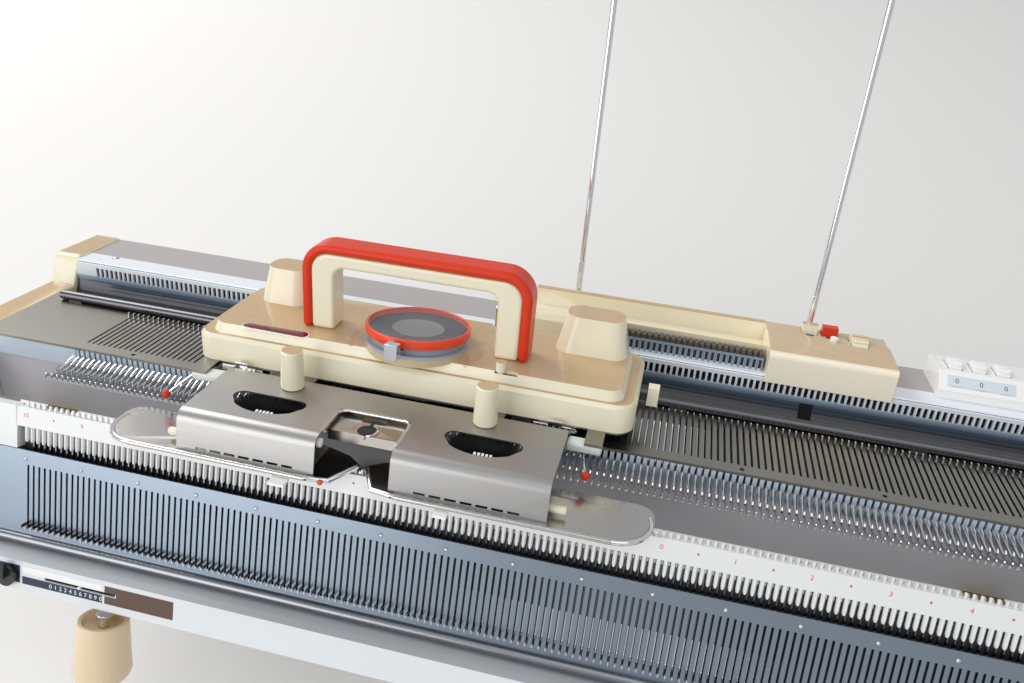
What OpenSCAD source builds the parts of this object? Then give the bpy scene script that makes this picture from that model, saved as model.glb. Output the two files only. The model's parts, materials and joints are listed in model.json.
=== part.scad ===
// Flat knitting machine: a needle bed with card unit and carriage, and a rib bed hung in front of it.
// Lengths are in millimetres. The bed frame has its origin on the rib bed's top edge at mid length,
// X along the beds, Y towards the back in the plane of the needle bed and Z square to it.

/* [Needles] */
// Distance from one needle to the next
needle_pitch = 4.5; // [4.2:0.1:4.8]
// Number of needles in each bed
needle_count = 200; // [160:10:200]
// Width of the slot that each needle slides in
slot_w = 1.6; // [1.4:0.1:1.9]
// Thickness of a needle across the bed
needle_t = 0.9; // [0.7:0.05:1]
// Height of a needle's shank
shank_h = 2.4; // [1.8:0.1:2.6]
// Height of the butt above its shank
butt_h = 11; // [9:0.5:12]

/* [Needle bed] */
// Length of plain plate beyond the last needle at each end
bed_end = 82; // [76:1:92]
// Lean of the needle bed towards the back, in degrees
bed_tilt = 18; // [14:1:22]
// Distance from the rib bed's number scale to the tips of the gate pegs
throat = 22; // [20:1:26]
// Reach of the gate pegs in front of the bed
peg_reach = 35; // [32:1:38]
// Length of the needle slots
slot_len = 55; // [50:1:60]
// Height of the plate above the rib bed's top edge
plate_z = 28; // [27:0.5:29]
// Height of the case from its bottom to the plate
case_h = 60; // [56:1:66]
// Sheet thickness of the slotted plates
plate_t = 2; // [1.5:0.1:2.5]
// Diameter of the rail that the carriage runs on
rail_d = 8; // [7:0.5:9]
// Sheet thickness of the painted covers
sheet_t = 1.5; // [1.2:0.1:2]

/* [Rear of the bed] */
// Depth of the rear cover, front to back
cover_depth = 55; // [50:1:65]
// Height of the rear cover above the plate
cover_rise = 22; // [20:1:24]
// Height of the slots in the timing rack
rack_slot_h = 8; // [6:0.5:9]
// Width of one end cap along the bed
cap_w = 24; // [18:1:30]
// Diameter of the two yarn masts
mast_d = 5; // [4:0.5:6]
// Height of the masts above the rear cover
mast_h = 380; // [300:10:460]

/* [Card unit] */
// Left end of the card tray, from the middle of the bed
card_x0 = -130; // [-140:1:-120]
// Right end of the card unit
card_x1 = 152; // [148:1:156]
// Width of the end housing
housing_w = 92; // [88:1:98]
// Height of the end housing above the rear cover
housing_rise = 22; // [19:0.5:24]
// Number of selector plates in the reader
selector_count = 24; // [20:1:24]
// Diameter of the card feed wheel
feed_d = 22; // [20:1:24]

/* [Row counter] */
// Left end of the row counter
counter_x = 186; // [180:1:196]
// Length of the row counter
counter_w = 72; // [68:1:80]
// Height of the row counter above the rear cover
counter_rise = 18; // [16:0.5:20]

/* [Carriage] */
// Place of the carriage's middle along the bed
carriage_x = -190; // [-200:1:-180]
// Length of the carriage cover
carriage_w = 321; // [312:1:326]
// Depth of the carriage cover, front to back
carriage_d = 92; // [88:1:94]
// Height of the cover's side wall
rim_h = 20; // [18:0.5:23]
// Height of the raised panel above the side wall
panel_h = 7; // [5:0.5:8]
// Wall of the carriage cover
cover_wall = 2.5; // [2:0.25:3]
// Diameter of the stitch dial
dial_d = 75; // [70:1:78]
// Height of the handle above the raised panel
handle_h = 65; // [58:1:75]
// Length of the handle over its legs
handle_w = 168; // [162:1:176]
// Offset of the handle from the carriage's middle
handle_x = -3.5; // [-6:0.5:0]
// Depth of the handle, front to back
handle_d = 20; // [16:1:22]
// Lean of the stitch dial towards the back, in degrees
dial_lean = 5; // [3:0.5:7]
// Diameter of the thumb screws
thumb_d = 15.5; // [14:0.5:17]

/* [Sinker plate] */
// Offset of the yarn mouth from the carriage's middle
sinker_x = -6.5; // [-8:0.5:-4]
// Length of the left sheet cover over the brush wheel
left_box_w = 96; // [92:1:98]
// Length of the right sheet cover
right_box_w = 101; // [96:1:103]
// Gap between the two sheet covers
box_gap = 50; // [46:1:56]
// Depth of the sheet covers, front to back
box_d = 67; // [64:1:70]
// Reach of the lower plate's left tip from the mouth
left_wing = 178; // [170:1:182]
// Reach of the right tip
right_wing = 190; // [182:1:194]
// Diameter of the brush wheels
brush_d = 44; // [40:1:46]

/* [Rib bed] */
// Angle of the rib bed below the needle bed, in degrees
rib_angle = 77; // [74:1:80]
// Length of plain plate beyond the last needle at each end of the rib bed
rib_end = 52; // [48:1:56]
// Height of the rib bed's top edge above its number scale
rib_top = 6; // [5:0.5:8]
// Depth of the rib bed's slotted plate
rib_plate_d = 73; // [70:1:76]
// Depth of the white comb that guides the rib needles
rib_comb_d = 32; // [30:1:34]
// How far the front rail stands proud of the slotted plate
rail_proud = 18.5; // [16:0.5:22]
// Height of the front rail's face
rail_face = 23; // [20:0.5:26]
// Diameter of the racking handle's knob at its free end
knob_d = 40; // [36:1:44]
// Length of the racking handle's knob
knob_h = 46; // [42:1:54]
// Distance from the racking shaft to the knob
crank_r = 32; // [28:1:36]

/* [Hidden] */

$fn = 48;
half_field = needle_count * needle_pitch / 2;
half_bed = half_field + bed_end;
half_rib = half_field + rib_end;
rack_travel = 22.5;
half_base = half_rib + rack_travel + 4.5;

// running and seating clearances
seat = 0.25;
run = 0.3;
// a shaft's bore is this much wider than the shaft
fit = 0.16;

// needle bed, front to back
peg_y = throat;
comb_y = peg_y + peg_reach;
comb_t = 4;
slot_y0 = comb_y + 10;
slot_y1 = slot_y0 + slot_len;
butt_y = slot_y1 - 4;
rail_y = slot_y1 + 9;
plate_y1 = rail_y + 6;
rack_y = plate_y1 + 28;
rack_t = 2;
rack_extra = 14;
cover_y0 = rack_y + 8;
cover_y1 = cover_y0 + cover_depth;

// needle bed, heights
base_z = plate_z - case_h;
plate_under = plate_z - plate_t;
shank_z1 = plate_z - 6;
shank_z0 = shank_z1 - shank_h;
butt_z = shank_z1 + butt_h;
floor_z = shank_z0 - seat;
rail_z = plate_z + rail_d / 2 + 0.2;
cover_z = plate_z + cover_rise;
rack_z0 = plate_z + 3;

// the machine stands on a table: the rear feet's underside is the height 0
foot_w = 40;
foot_d = 22;
foot_h = 3.5;
foot_y = cover_y1 - 14;
foot_bed = [foot_y, base_z];
tilt_y = foot_bed[0] * cos(bed_tilt) + foot_bed[1] * sin(bed_tilt);
tilt_z = -foot_bed[0] * sin(bed_tilt) + foot_bed[1] * cos(bed_tilt);
foot_drop = foot_h + foot_d / 2 * tan(bed_tilt);

// carriage heights and places
cp_z = max(butt_z + 2.5, rail_z + rail_d / 2 + 0.5);
cp_t = 2;
cp_z1 = cp_z + cp_t;
rim_z = cp_z1 + rim_h;
panel_z = rim_z + panel_h;
car_y0 = comb_y + 2;
car_y1 = car_y0 + carriage_d;
car_r = 14;
dial_y = car_y0 + 28;
ring_h = 7;
ring_rim = 1.6;
dial_lift = dial_d / 2 * sin(dial_lean) + 0.5;
handle_y = dial_y + 8;
leg_w = 24;
drum_teeth = 48;
drum_r = drum_teeth * needle_pitch / (2 * PI);
drum_x = [41.5 - carriage_w / 2, carriage_w / 2 - 41.5];
drum_axis_y = rack_y - drum_r;

// sinker plate
sheet = 1.2;
box_z = cp_z1 + sheet;
box_y1 = car_y0 - 9;
box_y0 = box_y1 - box_d;
wing_z = 13;
wing_t = 1.5;
thumb_x = [-74, 64];
thumb_y = box_y1 - 10;
runner_x = [-141, 131];
runner_y = car_y0 - 19;
runner_w = 24;
runner_d = 11;

// rib bed frame: Y up the slotted plate, Z square to it, origin at the number scale
rib_plate_y1 = rib_top - rib_comb_d;
finger_y1 = rib_top - 14.5;
finger_y0 = finger_y1 - 12;
rib_plate_y0 = rib_plate_y1 - rib_plate_d;
ledge_y = rib_plate_y0 - 2.5;
face_y0 = ledge_y - rail_face;
rib_back = 26;
crank_x = -half_field + 78;
crank_z = -16;

// the bed frame, the rib bed's frame and places along the bed
module in_bed() translate([0, -tilt_y, -tilt_z + foot_drop]) rotate([-bed_tilt, 0, 0]) children();
module in_rib() in_bed() rotate([rib_angle, 0, 0]) children();
module in_carriage() in_bed() translate([carriage_x, 0, 0]) children();
module in_sinker() in_carriage() translate([sinker_x, 0, 0]) children();
module in_dial() in_carriage() at_dial() children();
module at_dial() translate([0, dial_y, panel_z + dial_lift]) rotate([-dial_lean, 0, 0]) children();
function needle_x(i) = (i - (needle_count - 1) / 2) * needle_pitch;
function gap_x(i) = (i - needle_count / 2) * needle_pitch;

// a profile in Y and Z drawn out along X
module along_x(x0, x1) translate([x0, 0, 0]) rotate([90, 0, 90]) linear_extrude(x1 - x0) children();
// a flat sheet in X and Y with its underside at z
module flat_at(z, t) translate([0, 0, z]) linear_extrude(t) children();
// a rectangle with round corners
module round_rect(x0, x1, y0, y1, r) {
    for (q = [0, 1]) translate([x0 + q * r, y0 + (1 - q) * r])
        square([x1 - x0 - 2 * q * r, y1 - y0 - 2 * (1 - q) * r]);
    for (x = [x0 + r, x1 - r], y = [y0 + r, y1 - r]) translate([x, y]) circle(r);
}
// points of an arc about c from angle a to b
function arc(c, r, a, b, n = 6) = [for (i = [0:n]) c + r * [cos(a + (b - a) * i / n), sin(a + (b - a) * i / n)]];
// the row of needle slots as one flat drawing
module slots(y0, y1) for (i = [0:needle_count - 1]) translate([needle_x(i) - slot_w / 2, y0])
    square([slot_w, y1 - y0]);

// painted steel tray under the bed
module base_tray() color("lightgray") in_bed() along_x(-half_bed, half_bed) difference() {
    translate([comb_y + comb_t, base_z]) square([cover_y1 - sheet_t - comb_y - comb_t, floor_z - 8 - base_z]);
    translate([comb_y + comb_t + sheet_t, base_z + sheet_t])
        square([cover_y1 - 3 * sheet_t - comb_y - comb_t, case_h]);
}

// steel plate with a slot over each needle
module bed_plate() color("lightsteelblue") in_bed() flat_at(plate_under, plate_t) difference() {
    translate([-half_bed, comb_y]) square([2 * half_bed, plate_y1 - comb_y]);
    slots(slot_y0, slot_y1);
    for (i = [10:20:needle_count - 1]) translate([gap_x(i), slot_y0 - 5]) circle(1.6, $fn = 16);
}

// dark channel block that the needles lie in, carried on the tray's front wall
module needle_channel() color("dimgray") in_bed() along_x(-half_bed, half_bed) difference() {
    translate([comb_y + comb_t, floor_z - 8]) square([plate_y1 - comb_y - comb_t, plate_under - floor_z + 8]);
    translate([comb_y + comb_t - 1, floor_z])
        square([slot_y1 - comb_y - comb_t + 1, plate_under - floor_z + 1]);
}

// front comb: a bar between every two needles
module front_comb() translate([0, comb_y + comb_t, 0]) rotate([90, 0, 0]) linear_extrude(comb_t) difference() {
        translate([-half_bed, floor_z - 8]) square([2 * half_bed, plate_under - floor_z + 8]);
        for (i = [0:needle_count - 1]) translate([needle_x(i) - slot_w / 2, floor_z])
            square([slot_w, plate_under - 3 - floor_z]);
    }

// one gate peg: a stamped blade with its tip turned up
module gate_peg() rotate([90, 0, 90]) translate([0, 0, -0.5]) linear_extrude(1) polygon([
    [comb_y, floor_z - 7], [comb_y, floor_z - 1], [peg_y + 9, floor_z - 2], [peg_y + 5, floor_z + 3.2],
    [peg_y + 1.5, floor_z + 3.6], [peg_y, floor_z + 1], [peg_y + 1.5, floor_z - 4], [peg_y + 6, floor_z - 7]]);
// a peg on each side of every needle
module gate_pegs() color("silver") in_bed() {
    front_comb();
    for (i = [0:needle_count]) translate([gap_x(i), 0, 0]) gate_peg();
}

// latch needle: hook in front, shank in the slot and butt standing up behind
module latch_needle() rotate([90, 0, 90]) translate([0, 0, -needle_t / 2]) linear_extrude(needle_t) polygon([
    [peg_y + 9, shank_z0 + 0.5], [peg_y + 18, shank_z0], [slot_y1 - 0.5, shank_z0], [slot_y1 - 0.5, shank_z1],
    [butt_y + 1.2, shank_z1], [butt_y + 1.2, butt_z], [butt_y - 1.2, butt_z], [butt_y - 1.2, shank_z1],
    [comb_y + 6, shank_z1], [comb_y + 2, shank_z0 + 1.4], [peg_y + 12, shank_z0 + 1.4],
        [peg_y + 10.4, shank_z0 + 3],
    [peg_y + 11.5, shank_z0 + 3.3], [peg_y + 11, shank_z0 + 4], [peg_y + 9, shank_z0 + 3.6],
        [peg_y + 8, shank_z0 + 2]]);
module main_needles() color("silver") in_bed() for (i = [0:needle_count - 1])
    translate([needle_x(i), 0, 0]) latch_needle();

// round steel bar behind the needle butts
module carriage_rail() color("silver") in_bed() {
    translate([-half_bed + 12, rail_y, rail_z]) rotate([0, 90, 0]) cylinder(d = rail_d, h = 2 * half_bed - 24);
    for (i = [-3:3]) rail_saddle(i);
}
// saddle that lifts the bar off the plate
module rail_saddle(i) along_x(i * (half_bed - 25) / 3 - 6, i * (half_bed - 25) / 3 + 6) difference() {
        translate([rail_y - 2.5, plate_z]) square([5, rail_z - 2 - plate_z]);
        translate([rail_y, rail_z]) circle(d = rail_d - 1);
    }

// pressed channel that rises from behind the plate to the rack
channel_r = 20;
module curved_channel() along_x(-half_bed, half_bed) polygon(concat(
    [[plate_y1 + seat, plate_under - 8], [plate_y1 + seat, plate_under]],
    arc([rack_y - channel_r, rack_z0 + 4], channel_r, -50, 0),
    [[rack_y, rack_z0 + 4.1]],
    [[rack_y + sheet_t, rack_z0 + 4.1], [rack_y + sheet_t, rack_z0 - 16], [plate_y1 + 12, plate_under - 8]]));

// timing rack: one slot for each needle, above the curved channel
module rear_channel() color("lightsteelblue") in_bed() {
    curved_channel();
    timing_rack();
}
module timing_rack() translate([0, rack_y + rack_t, 0]) rotate([90, 0, 0])
    linear_extrude(rack_t) difference() {
        translate([-half_bed, rack_z0 + 4.1]) square([2 * half_bed, cover_z - sheet_t - rack_z0 - 4.1]);
        for (i = [-rack_extra:needle_count - 1 + rack_extra]) translate([needle_x(i) - 1.4, cp_z1 - 1.2])
            square([2.8, rack_slot_h]);
    }

// folded rear cover
module rear_cover() color("lightgray") in_bed() {
    along_x(-half_bed, half_bed) difference() {
        translate([rack_y + rack_t, base_z]) square([cover_y1 - rack_y - rack_t, cover_z - base_z]);
        translate([rack_y + rack_t - 1, base_z - 1])
            square([cover_y1 - sheet_t - rack_y - rack_t + 1, cover_z - sheet_t - base_z + 1]);
    }
}

// moulded end cap; side is -1 for the left end and 1 for the right
module end_cap(side) color("beige") in_bed() {
    x0 = side < 0 ? -half_bed - cap_w : half_bed;
    along_x(x0, x0 + cap_w) polygon(concat(
        [[comb_y + 2, base_z]], [[comb_y + 2, plate_z - 6]], arc([comb_y + 8, plate_z - 6], 6, 180, 90, 4),
        [[rack_y - 6, plate_z]], [[rack_y + 2, cover_z - 6]], arc([rack_y + 10, cover_z - 6], 8, 180, 90, 4),
        arc([cover_y1 - 4, cover_z - 2], 4, 90, 0, 4), [[cover_y1, base_z]]));
}
module end_caps() { end_cap(-1); end_cap(1); }

// rubber wedges that bring the rear of the case level with the table
module rear_feet() color("dimgray") for (x = [-1, 0, 1])
    along_x(x * (half_bed - 60) - foot_w / 2, x * (half_bed - 60) + foot_w / 2) difference() {
        translate([-foot_d / 2, 0]) square([foot_d, foot_drop + foot_d]);
        translate([0, foot_drop]) rotate(-bed_tilt) translate([-foot_d, 0]) square(3 * foot_d);
    }

// sheet stands under the front of the case: four folded angles with a foot on the table
stand_x = [-475, -212, 212, 475];
stand_w = 26;
module bed_stands() color("goldenrod") {
    front = [comb_y + comb_t + 2, base_z];
    top_y = -tilt_y + front[0] * cos(bed_tilt) + front[1] * sin(bed_tilt);
    top_z = -tilt_z + foot_drop - front[0] * sin(bed_tilt) + front[1] * cos(bed_tilt);
    for (x = stand_x) along_x(x * half_bed / 532 - stand_w / 2, x * half_bed / 532 + stand_w / 2) {
        difference() {
            translate([top_y - 14, 0]) square([44, top_z + 20]);
            translate([top_y - 12, 2]) square([60, top_z + 40]);
            translate([top_y, top_z]) rotate(-bed_tilt) translate([-40, 0]) square(100);
        }
        intersection() {
            translate([top_y - 14, 0]) square([44, top_z + 20]);
            translate([top_y, top_z]) rotate(-bed_tilt) translate([-30, -2]) square([60, 2]);
        }
    }
}

// chrome masts for the yarn, each in a socket on the case's rear wall; the lower half is
// a little thicker and takes the upper rod
mast_x = [-96, 95];
mast_y = cover_y1 + mast_d / 2 + 5.5;
ferrule_z = 95;
ferrule_d = mast_d + 0.6;
module mast(x) color("silver") in_bed() translate([x, mast_y, 0]) {
    translate([0, 0, 4]) cylinder(d = ferrule_d, h = ferrule_z - 4);
    translate([0, 0, ferrule_z - 1]) cylinder(d = mast_d, h = cover_z + mast_h - mast_d / 2 - ferrule_z + 1);
    translate([0, 0, cover_z + mast_h - mast_d / 2]) sphere(d = mast_d);
    cylinder(d = mast_d + 6, h = 30);
    translate([-6, cover_y1 - mast_y, 0]) cube([12, mast_y - cover_y1, 30]);
}
module yarn_masts() for (x = mast_x) mast(x);

// tray of the card reader: a low wall in front, the card's trough and the rear wall
tray_z = cover_z + housing_rise - 2;
tray_y1 = cover_y1 + 2;
teeth_x0 = card_x1 - housing_w - 4 - (selector_count - 1) * needle_pitch;
module card_tray() color("beige") in_bed() {
    along_x(card_x0, card_x1 - housing_w) polygon([[cover_y0 + 16, cover_z], [cover_y0 + 16, tray_z - 5],
        [cover_y0 + 22, tray_z - 8], [cover_y0 + 36, cover_z + 6], [tray_y1 - 8, cover_z + 6],
        [tray_y1 - 5, tray_z], [tray_y1, tray_z], [tray_y1, cover_z]]);
    along_x(card_x0, teeth_x0 - 2) polygon([[cover_y0, cover_z], [cover_y0, tray_z - 7],
        [cover_y0 + 4, tray_z - 3],
        [cover_y0 + 12, tray_z - 3], [cover_y0 + 17, tray_z - 5], [cover_y0 + 17, cover_z]]);
}

// reader plates that set the carriage's pattern drums
module selector_plates() color("gray") in_bed() {
    flat_at(cover_z, 13) union() {
        translate([teeth_x0 - 1.5, cover_y0 + 12]) square([(selector_count - 1) * needle_pitch + 3, 3.7]);
        for (i = [0:selector_count - 1]) translate([teeth_x0 + i * needle_pitch - 1.5, cover_y0 + 1])
            square([3, 11.5]);
    }
}

// moulded housing at the end of the card unit
house_x0 = card_x1 - housing_w;
house_z = cover_z + housing_rise;
apron_y = rack_y - 2;
apron_t = 1.8;
lever_x = [house_x0 + 33.5, house_x0 + 49];
feed_x = house_x0 + 69.5;
feed_y = cover_y0 + 37;
feed_z = house_z + 5 - feed_d / 2;
lever_y = cover_y1 - 6;
lever_z = cover_z + 6;
button_x = house_x0 + 50;
button_y = cover_y0 + 30;
module card_housing() color("beige") in_bed() {
    difference() {
        along_x(house_x0, card_x1) polygon(concat([[apron_y, cover_z - 3.5], [apron_y, house_z - 5]],
            arc([apron_y + 5, house_z - 5], 5, 180, 90, 4), [[cover_y1 - 22, house_z],
                [cover_y1 - 20, house_z - 2]],
            arc([cover_y1 - 1, house_z - 6], 4, 90, 0, 4), [[cover_y1 + 3, cover_z],
                [apron_y + apron_t, cover_z],
            [apron_y + apron_t, cover_z - 3.5]]));
        along_x(house_x0 + 2.5, card_x1 - 2.5) polygon([[apron_y + 2.5, cover_z - 1],
            [apron_y + 2.5, house_z - 6],
            [apron_y + 6, house_z - 2.5], [cover_y1 - 23, house_z - 2.5], [cover_y1 - 22, house_z - 4.5],
            [cover_y1 - 2, house_z - 4.5], [cover_y1, house_z - 7], [cover_y1, cover_z - 1]]);
        for (x = lever_x) translate([x - 6.5, lever_y - 8, house_z - 8]) cube([13, 15, 14]);
        translate([feed_x - 7, feed_y - feed_d / 2 - 1, house_z - 6]) cube([14, feed_d + 2, 12]);
        translate([button_x, button_y, house_z - 6]) cylinder(d = 6.6, h = 12);
    }
    translate([feed_x - 8, feed_y, feed_z]) rotate([0, 90, 0]) cylinder(d = 4, h = card_x1 - feed_x + 7);
    translate([house_x0 + 1, lever_y, lever_z]) rotate([0, 90, 0])
        cylinder(d = 4, h = lever_x[1] - house_x0 + 7);
    translate([button_x, button_y, cover_z]) cylinder(d = 3, h = 8);
}
// a rocking tab on the housing's rear pin
module card_lever(x, shade) color(shade) in_bed() translate([x - 6, lever_y, lever_z]) rotate([90, 0, 90])
    linear_extrude(12) difference() {
        union() {
            circle(5);
            polygon([[-4.2, -1], [-3.5, house_z - lever_z + 4], [3.5, house_z - lever_z + 4], [4.2, -1]]);
        }
        circle(d = 4 + fit);
    }
module card_stop_lever() card_lever(lever_x[0], "beige");
module card_lock_lever() card_lever(lever_x[1], "firebrick");
module card_button() color("white") in_bed() translate([button_x, button_y, 0]) difference() {
    translate([0, 0, cover_z + 4]) cylinder(d = 6, h = house_z + 3 - cover_z - 4);
    translate([0, 0, cover_z + 3]) cylinder(d = 3 + fit, h = 8);
}
// ribbed thumb wheel that feeds the card by hand
module feed_wheel() color("beige") in_bed() translate([feed_x - 6, feed_y, feed_z]) rotate([90, 0, 90])
    linear_extrude(12) difference() {
        circle(d = feed_d);
        circle(d = 4 + fit);
        for (i = [0:15]) rotate(i * 22.5) translate([feed_d / 2, 0]) circle(d = 1.6, $fn = 6);
    }

// row counter: three numbered wheels behind a window, thumbed from above
wheel_d = 16;
wheel_w = 9;
wheel_y = cover_y0 + 30;
wheel_z = cover_z + counter_rise + 5.5 - wheel_d / 2;
function wheel_x(i) = counter_x + 8 + i * 17;
case_z = cover_z + counter_rise;
module counter_case() color("ivory") in_bed() {
    difference() {
        along_x(counter_x, counter_x + counter_w) polygon(concat([[cover_y0 + 6, cover_z],
            [cover_y0 + 6, cover_z + 7],
            [cover_y0 + 18, case_z]], arc([cover_y1 - 9, case_z - 4], 4, 90, 0, 4), [[cover_y1 - 5, cover_z]]));
        along_x(counter_x + 2.5, counter_x + counter_w - 2.5) polygon([[cover_y0 + 8.5, cover_z - 1],
            [cover_y0 + 8.5, cover_z + 6], [cover_y0 + 19, case_z - 2.5], [cover_y1 - 8, case_z - 2.5],
            [cover_y1 - 8, cover_z - 1]]);
        for (i = [0:2]) translate([wheel_x(i) - 1, wheel_y - wheel_d / 2 - 0.5, case_z - 5])
            cube([wheel_w + 2, wheel_d + 1, 10]);
        for (i = [0:2]) translate([wheel_x(i) + 0.5, cover_y0 + 8.5, cover_z + 9.5])
            cube([wheel_w - 1, 9, 5.5]);
    }
    translate([counter_x + 1, wheel_y, wheel_z]) rotate([0, 90, 0]) cylinder(d = 3, h = counter_w - 2);
}
module counter_wheel(i) color("white") in_bed() translate([wheel_x(i), wheel_y, wheel_z]) rotate([90, 0, 90])
    linear_extrude(wheel_w) difference() {
        circle(d = wheel_d);
        circle(d = 3 + fit);
        for (k = [0:9]) rotate(k * 36) translate([wheel_d / 2, 0]) circle(d = 2, $fn = 6);
    }
module counter_wheel_hundreds() counter_wheel(0);
module counter_wheel_tens() counter_wheel(1);
module counter_wheel_units() counter_wheel(2);

// carriage plate with its shoes on the rail and its front runners
module carriage_plate() color("gray") in_carriage() {
    difference() {
        flat_at(cp_z, cp_t) union() {
            round_rect(-carriage_w / 2 + 2, carriage_w / 2 - 2, car_y0 + 1, car_y1 - 2, car_r - 2);
            for (x = thumb_x) translate([x - 10, thumb_y - 7]) square([20, car_y0 + 3 - thumb_y + 7]);
            for (s = [0, 1]) translate([runner_x[s] + (s - 1) * runner_w / 2, runner_y])
                square([runner_w / 2, car_y0 + 16 - runner_y]);
        }
        for (x = thumb_x) translate([x, thumb_y, cp_z - 1]) cylinder(d = 5 + fit, h = cp_t + 2);
    }
    for (s = release_x) translate([s, release_y, cp_z - 2.5]) cylinder(d = 4, h = 2.6 + cp_t);
    for (x = [-120, 90]) along_x(x, x + 30) difference() {
        translate([rail_y - rail_d / 2 - 3, rail_z - 1]) square([rail_d + 6, cp_z - rail_z + 1.1]);
        translate([rail_y, rail_z]) circle(d = rail_d + 2 * run);
    }
    for (x = [-102, 78]) along_x(x, x + 14) translate([slot_y0 - 7, plate_z + run])
        square([4, cp_z - plate_z - run + 0.1]);
    for (s = drum_x) translate([s, drum_axis_y, cp_z1 - 0.1]) cylinder(d = 6, h = rim_h - cover_wall - 0.4);
}
// white nylon blocks under the tabs at the front corners
module front_runners() color("white") in_carriage() for (x = runner_x)
    translate([x - runner_w / 2, runner_y, plate_z + 2]) cube([runner_w, runner_d, cp_z - plate_z - 2]);
// cams under the plate, which steer the needle butts
cam_z = plate_z + 1;
module carriage_cams() color("silver") in_carriage() flat_at(cam_z, cp_z - cam_z) {
    y0 = slot_y0 + 4;
    y1 = butt_y - 8;
    for (s = [0, 1]) mirror([s, 0]) {
        polygon([[20, y0 + 18], [62, y0 + 2], [74, y0 + 2], [74, y0 + 8], [30, y0 + 26]]);
        polygon([[34, y1 - 2], [92, y1 - 14], [104, y1 - 14], [104, y1], [38, y1]]);
        polygon([[82, y0 + 7], [106, y0 + 7], [106, y0 + 17], [92, y0 + 17]]);
    }
    polygon([[-14, y0], [14, y0], [22, y0 + 10], [0, y0 + 22], [-22, y0 + 10]]);
}

// pattern drum: 48 teeth that roll in the timing rack below a pinned barrel
module pattern_drum(x) {
    place = carriage_x + x;
    slot = needle_x(round(place / needle_pitch + (needle_count - 1) / 2));
    phase = (slot - place) / drum_r * 180 / PI;
    color("dimgray") in_bed() translate([place, drum_axis_y, cp_z1 + run]) difference() {
        union() {
            rotate(-phase) linear_extrude(4) union() {
                circle(r = drum_r - 0.8);
                for (i = [0:drum_teeth - 1]) rotate(i * 360 / drum_teeth) polygon([[-1.2, drum_r - 2],
                    [-0.7, drum_r + 1], [0.7, drum_r + 1], [1.2, drum_r - 2]]);
            }
            translate([0, 0, 3.9]) cylinder(r = 13, h = rim_h - cover_wall - 5);
        }
        translate([0, 0, -1]) cylinder(d = 6 + fit, h = 60);
    }
}
module left_drum() pattern_drum(drum_x[0]);
module right_drum() pattern_drum(drum_x[1]);

// moulded cover: side wall, raised panel and a hood over each pattern drum
hood_h = 26;
module slab(x0, x1, y0, y1, r, z, t) flat_at(z, t) round_rect(x0, x1, y0, y1, r, $fn = 32);
module carriage_cover() color("beige") in_carriage() {
    w = carriage_w / 2;
    difference() {
        union() {
            slab(-w, w, car_y0, car_y1, car_r, cp_z1, rim_h - 2.5);
            hull() {
                slab(-w, w, car_y0, car_y1, car_r, rim_z - 2.6, 0.1);
                slab(-w + 2.5, w - 2.5, car_y0 + 2.5, car_y1 - 2.5, car_r - 2.5, rim_z - 0.1, 0.1);
            }
            hull() {
                slab(-w + 9, w - 9, car_y0 + 5, car_y1 - 5, car_r - 3, rim_z - 1, 0.1);
                slab(-w + 12, w - 12, car_y0 + 8, car_y1 - 8, car_r - 5, panel_z - 0.1, 0.1);
            }
            for (q = [[drum_x[0], 20, 16], [drum_x[1] + 2, 27, 21]]) hull() {
                slab(q[0] - q[1], q[0] + q[1], drum_axis_y - 18, car_y1 - 3, 12, panel_z - 2, 0.1);
                slab(q[0] - q[2], q[0] + q[2], drum_axis_y - 10, car_y1 - 6, 10, panel_z + hood_h - 0.1, 0.1);
            }
        }
        slab(-w + cover_wall, w - cover_wall, car_y0 + cover_wall, car_y1 - cover_wall, car_r - cover_wall, cp_z1 - 1, rim_h - cover_wall + 1);
        slab(-w + 14, w - 14, car_y0 + 10, car_y1 - 10, 8, rim_z - 5, panel_h + 5 - cover_wall);
        for (s = drum_x) translate([s - 36, drum_axis_y + 5, cp_z1 - 1]) cube([72, 40, 6.5]);
        translate([button_slot_x, button_slot_y - 1.6, panel_z - 6]) cube([16, 3.2, 10]);
        translate([pin_x, pin_y, rim_z - 5]) cylinder(d = 7, h = 20);
    }
    translate([0, dial_y, cp_z1]) cylinder(d = 16, h = panel_z - cp_z1 - 1);
    at_dial() translate([0, 0, -3]) cylinder(d = 10, h = 3 + ring_lift + dial_floor - 0.2);
    difference() {
        at_dial() translate([0, 0, -12]) cylinder(d = dial_d - 2, h = 12);
        translate([-dial_d, dial_y - dial_d, panel_z - 20]) cube([2 * dial_d, 2 * dial_d, 19.5]);
    }
    translate([pin_x, pin_y, cp_z1]) cylinder(d = 10, h = 10);
    translate([side_x - cover_wall - 0.5, side_y, side_z]) rotate([0, 90, 0])
        cylinder(d = 4, h = cover_wall + 5.5);
}
button_slot_x = 62;
button_slot_y = car_y0 + 9;
pin_x = 45;
pin_y = car_y1 - 9;
pin_d = 3.6;

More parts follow.
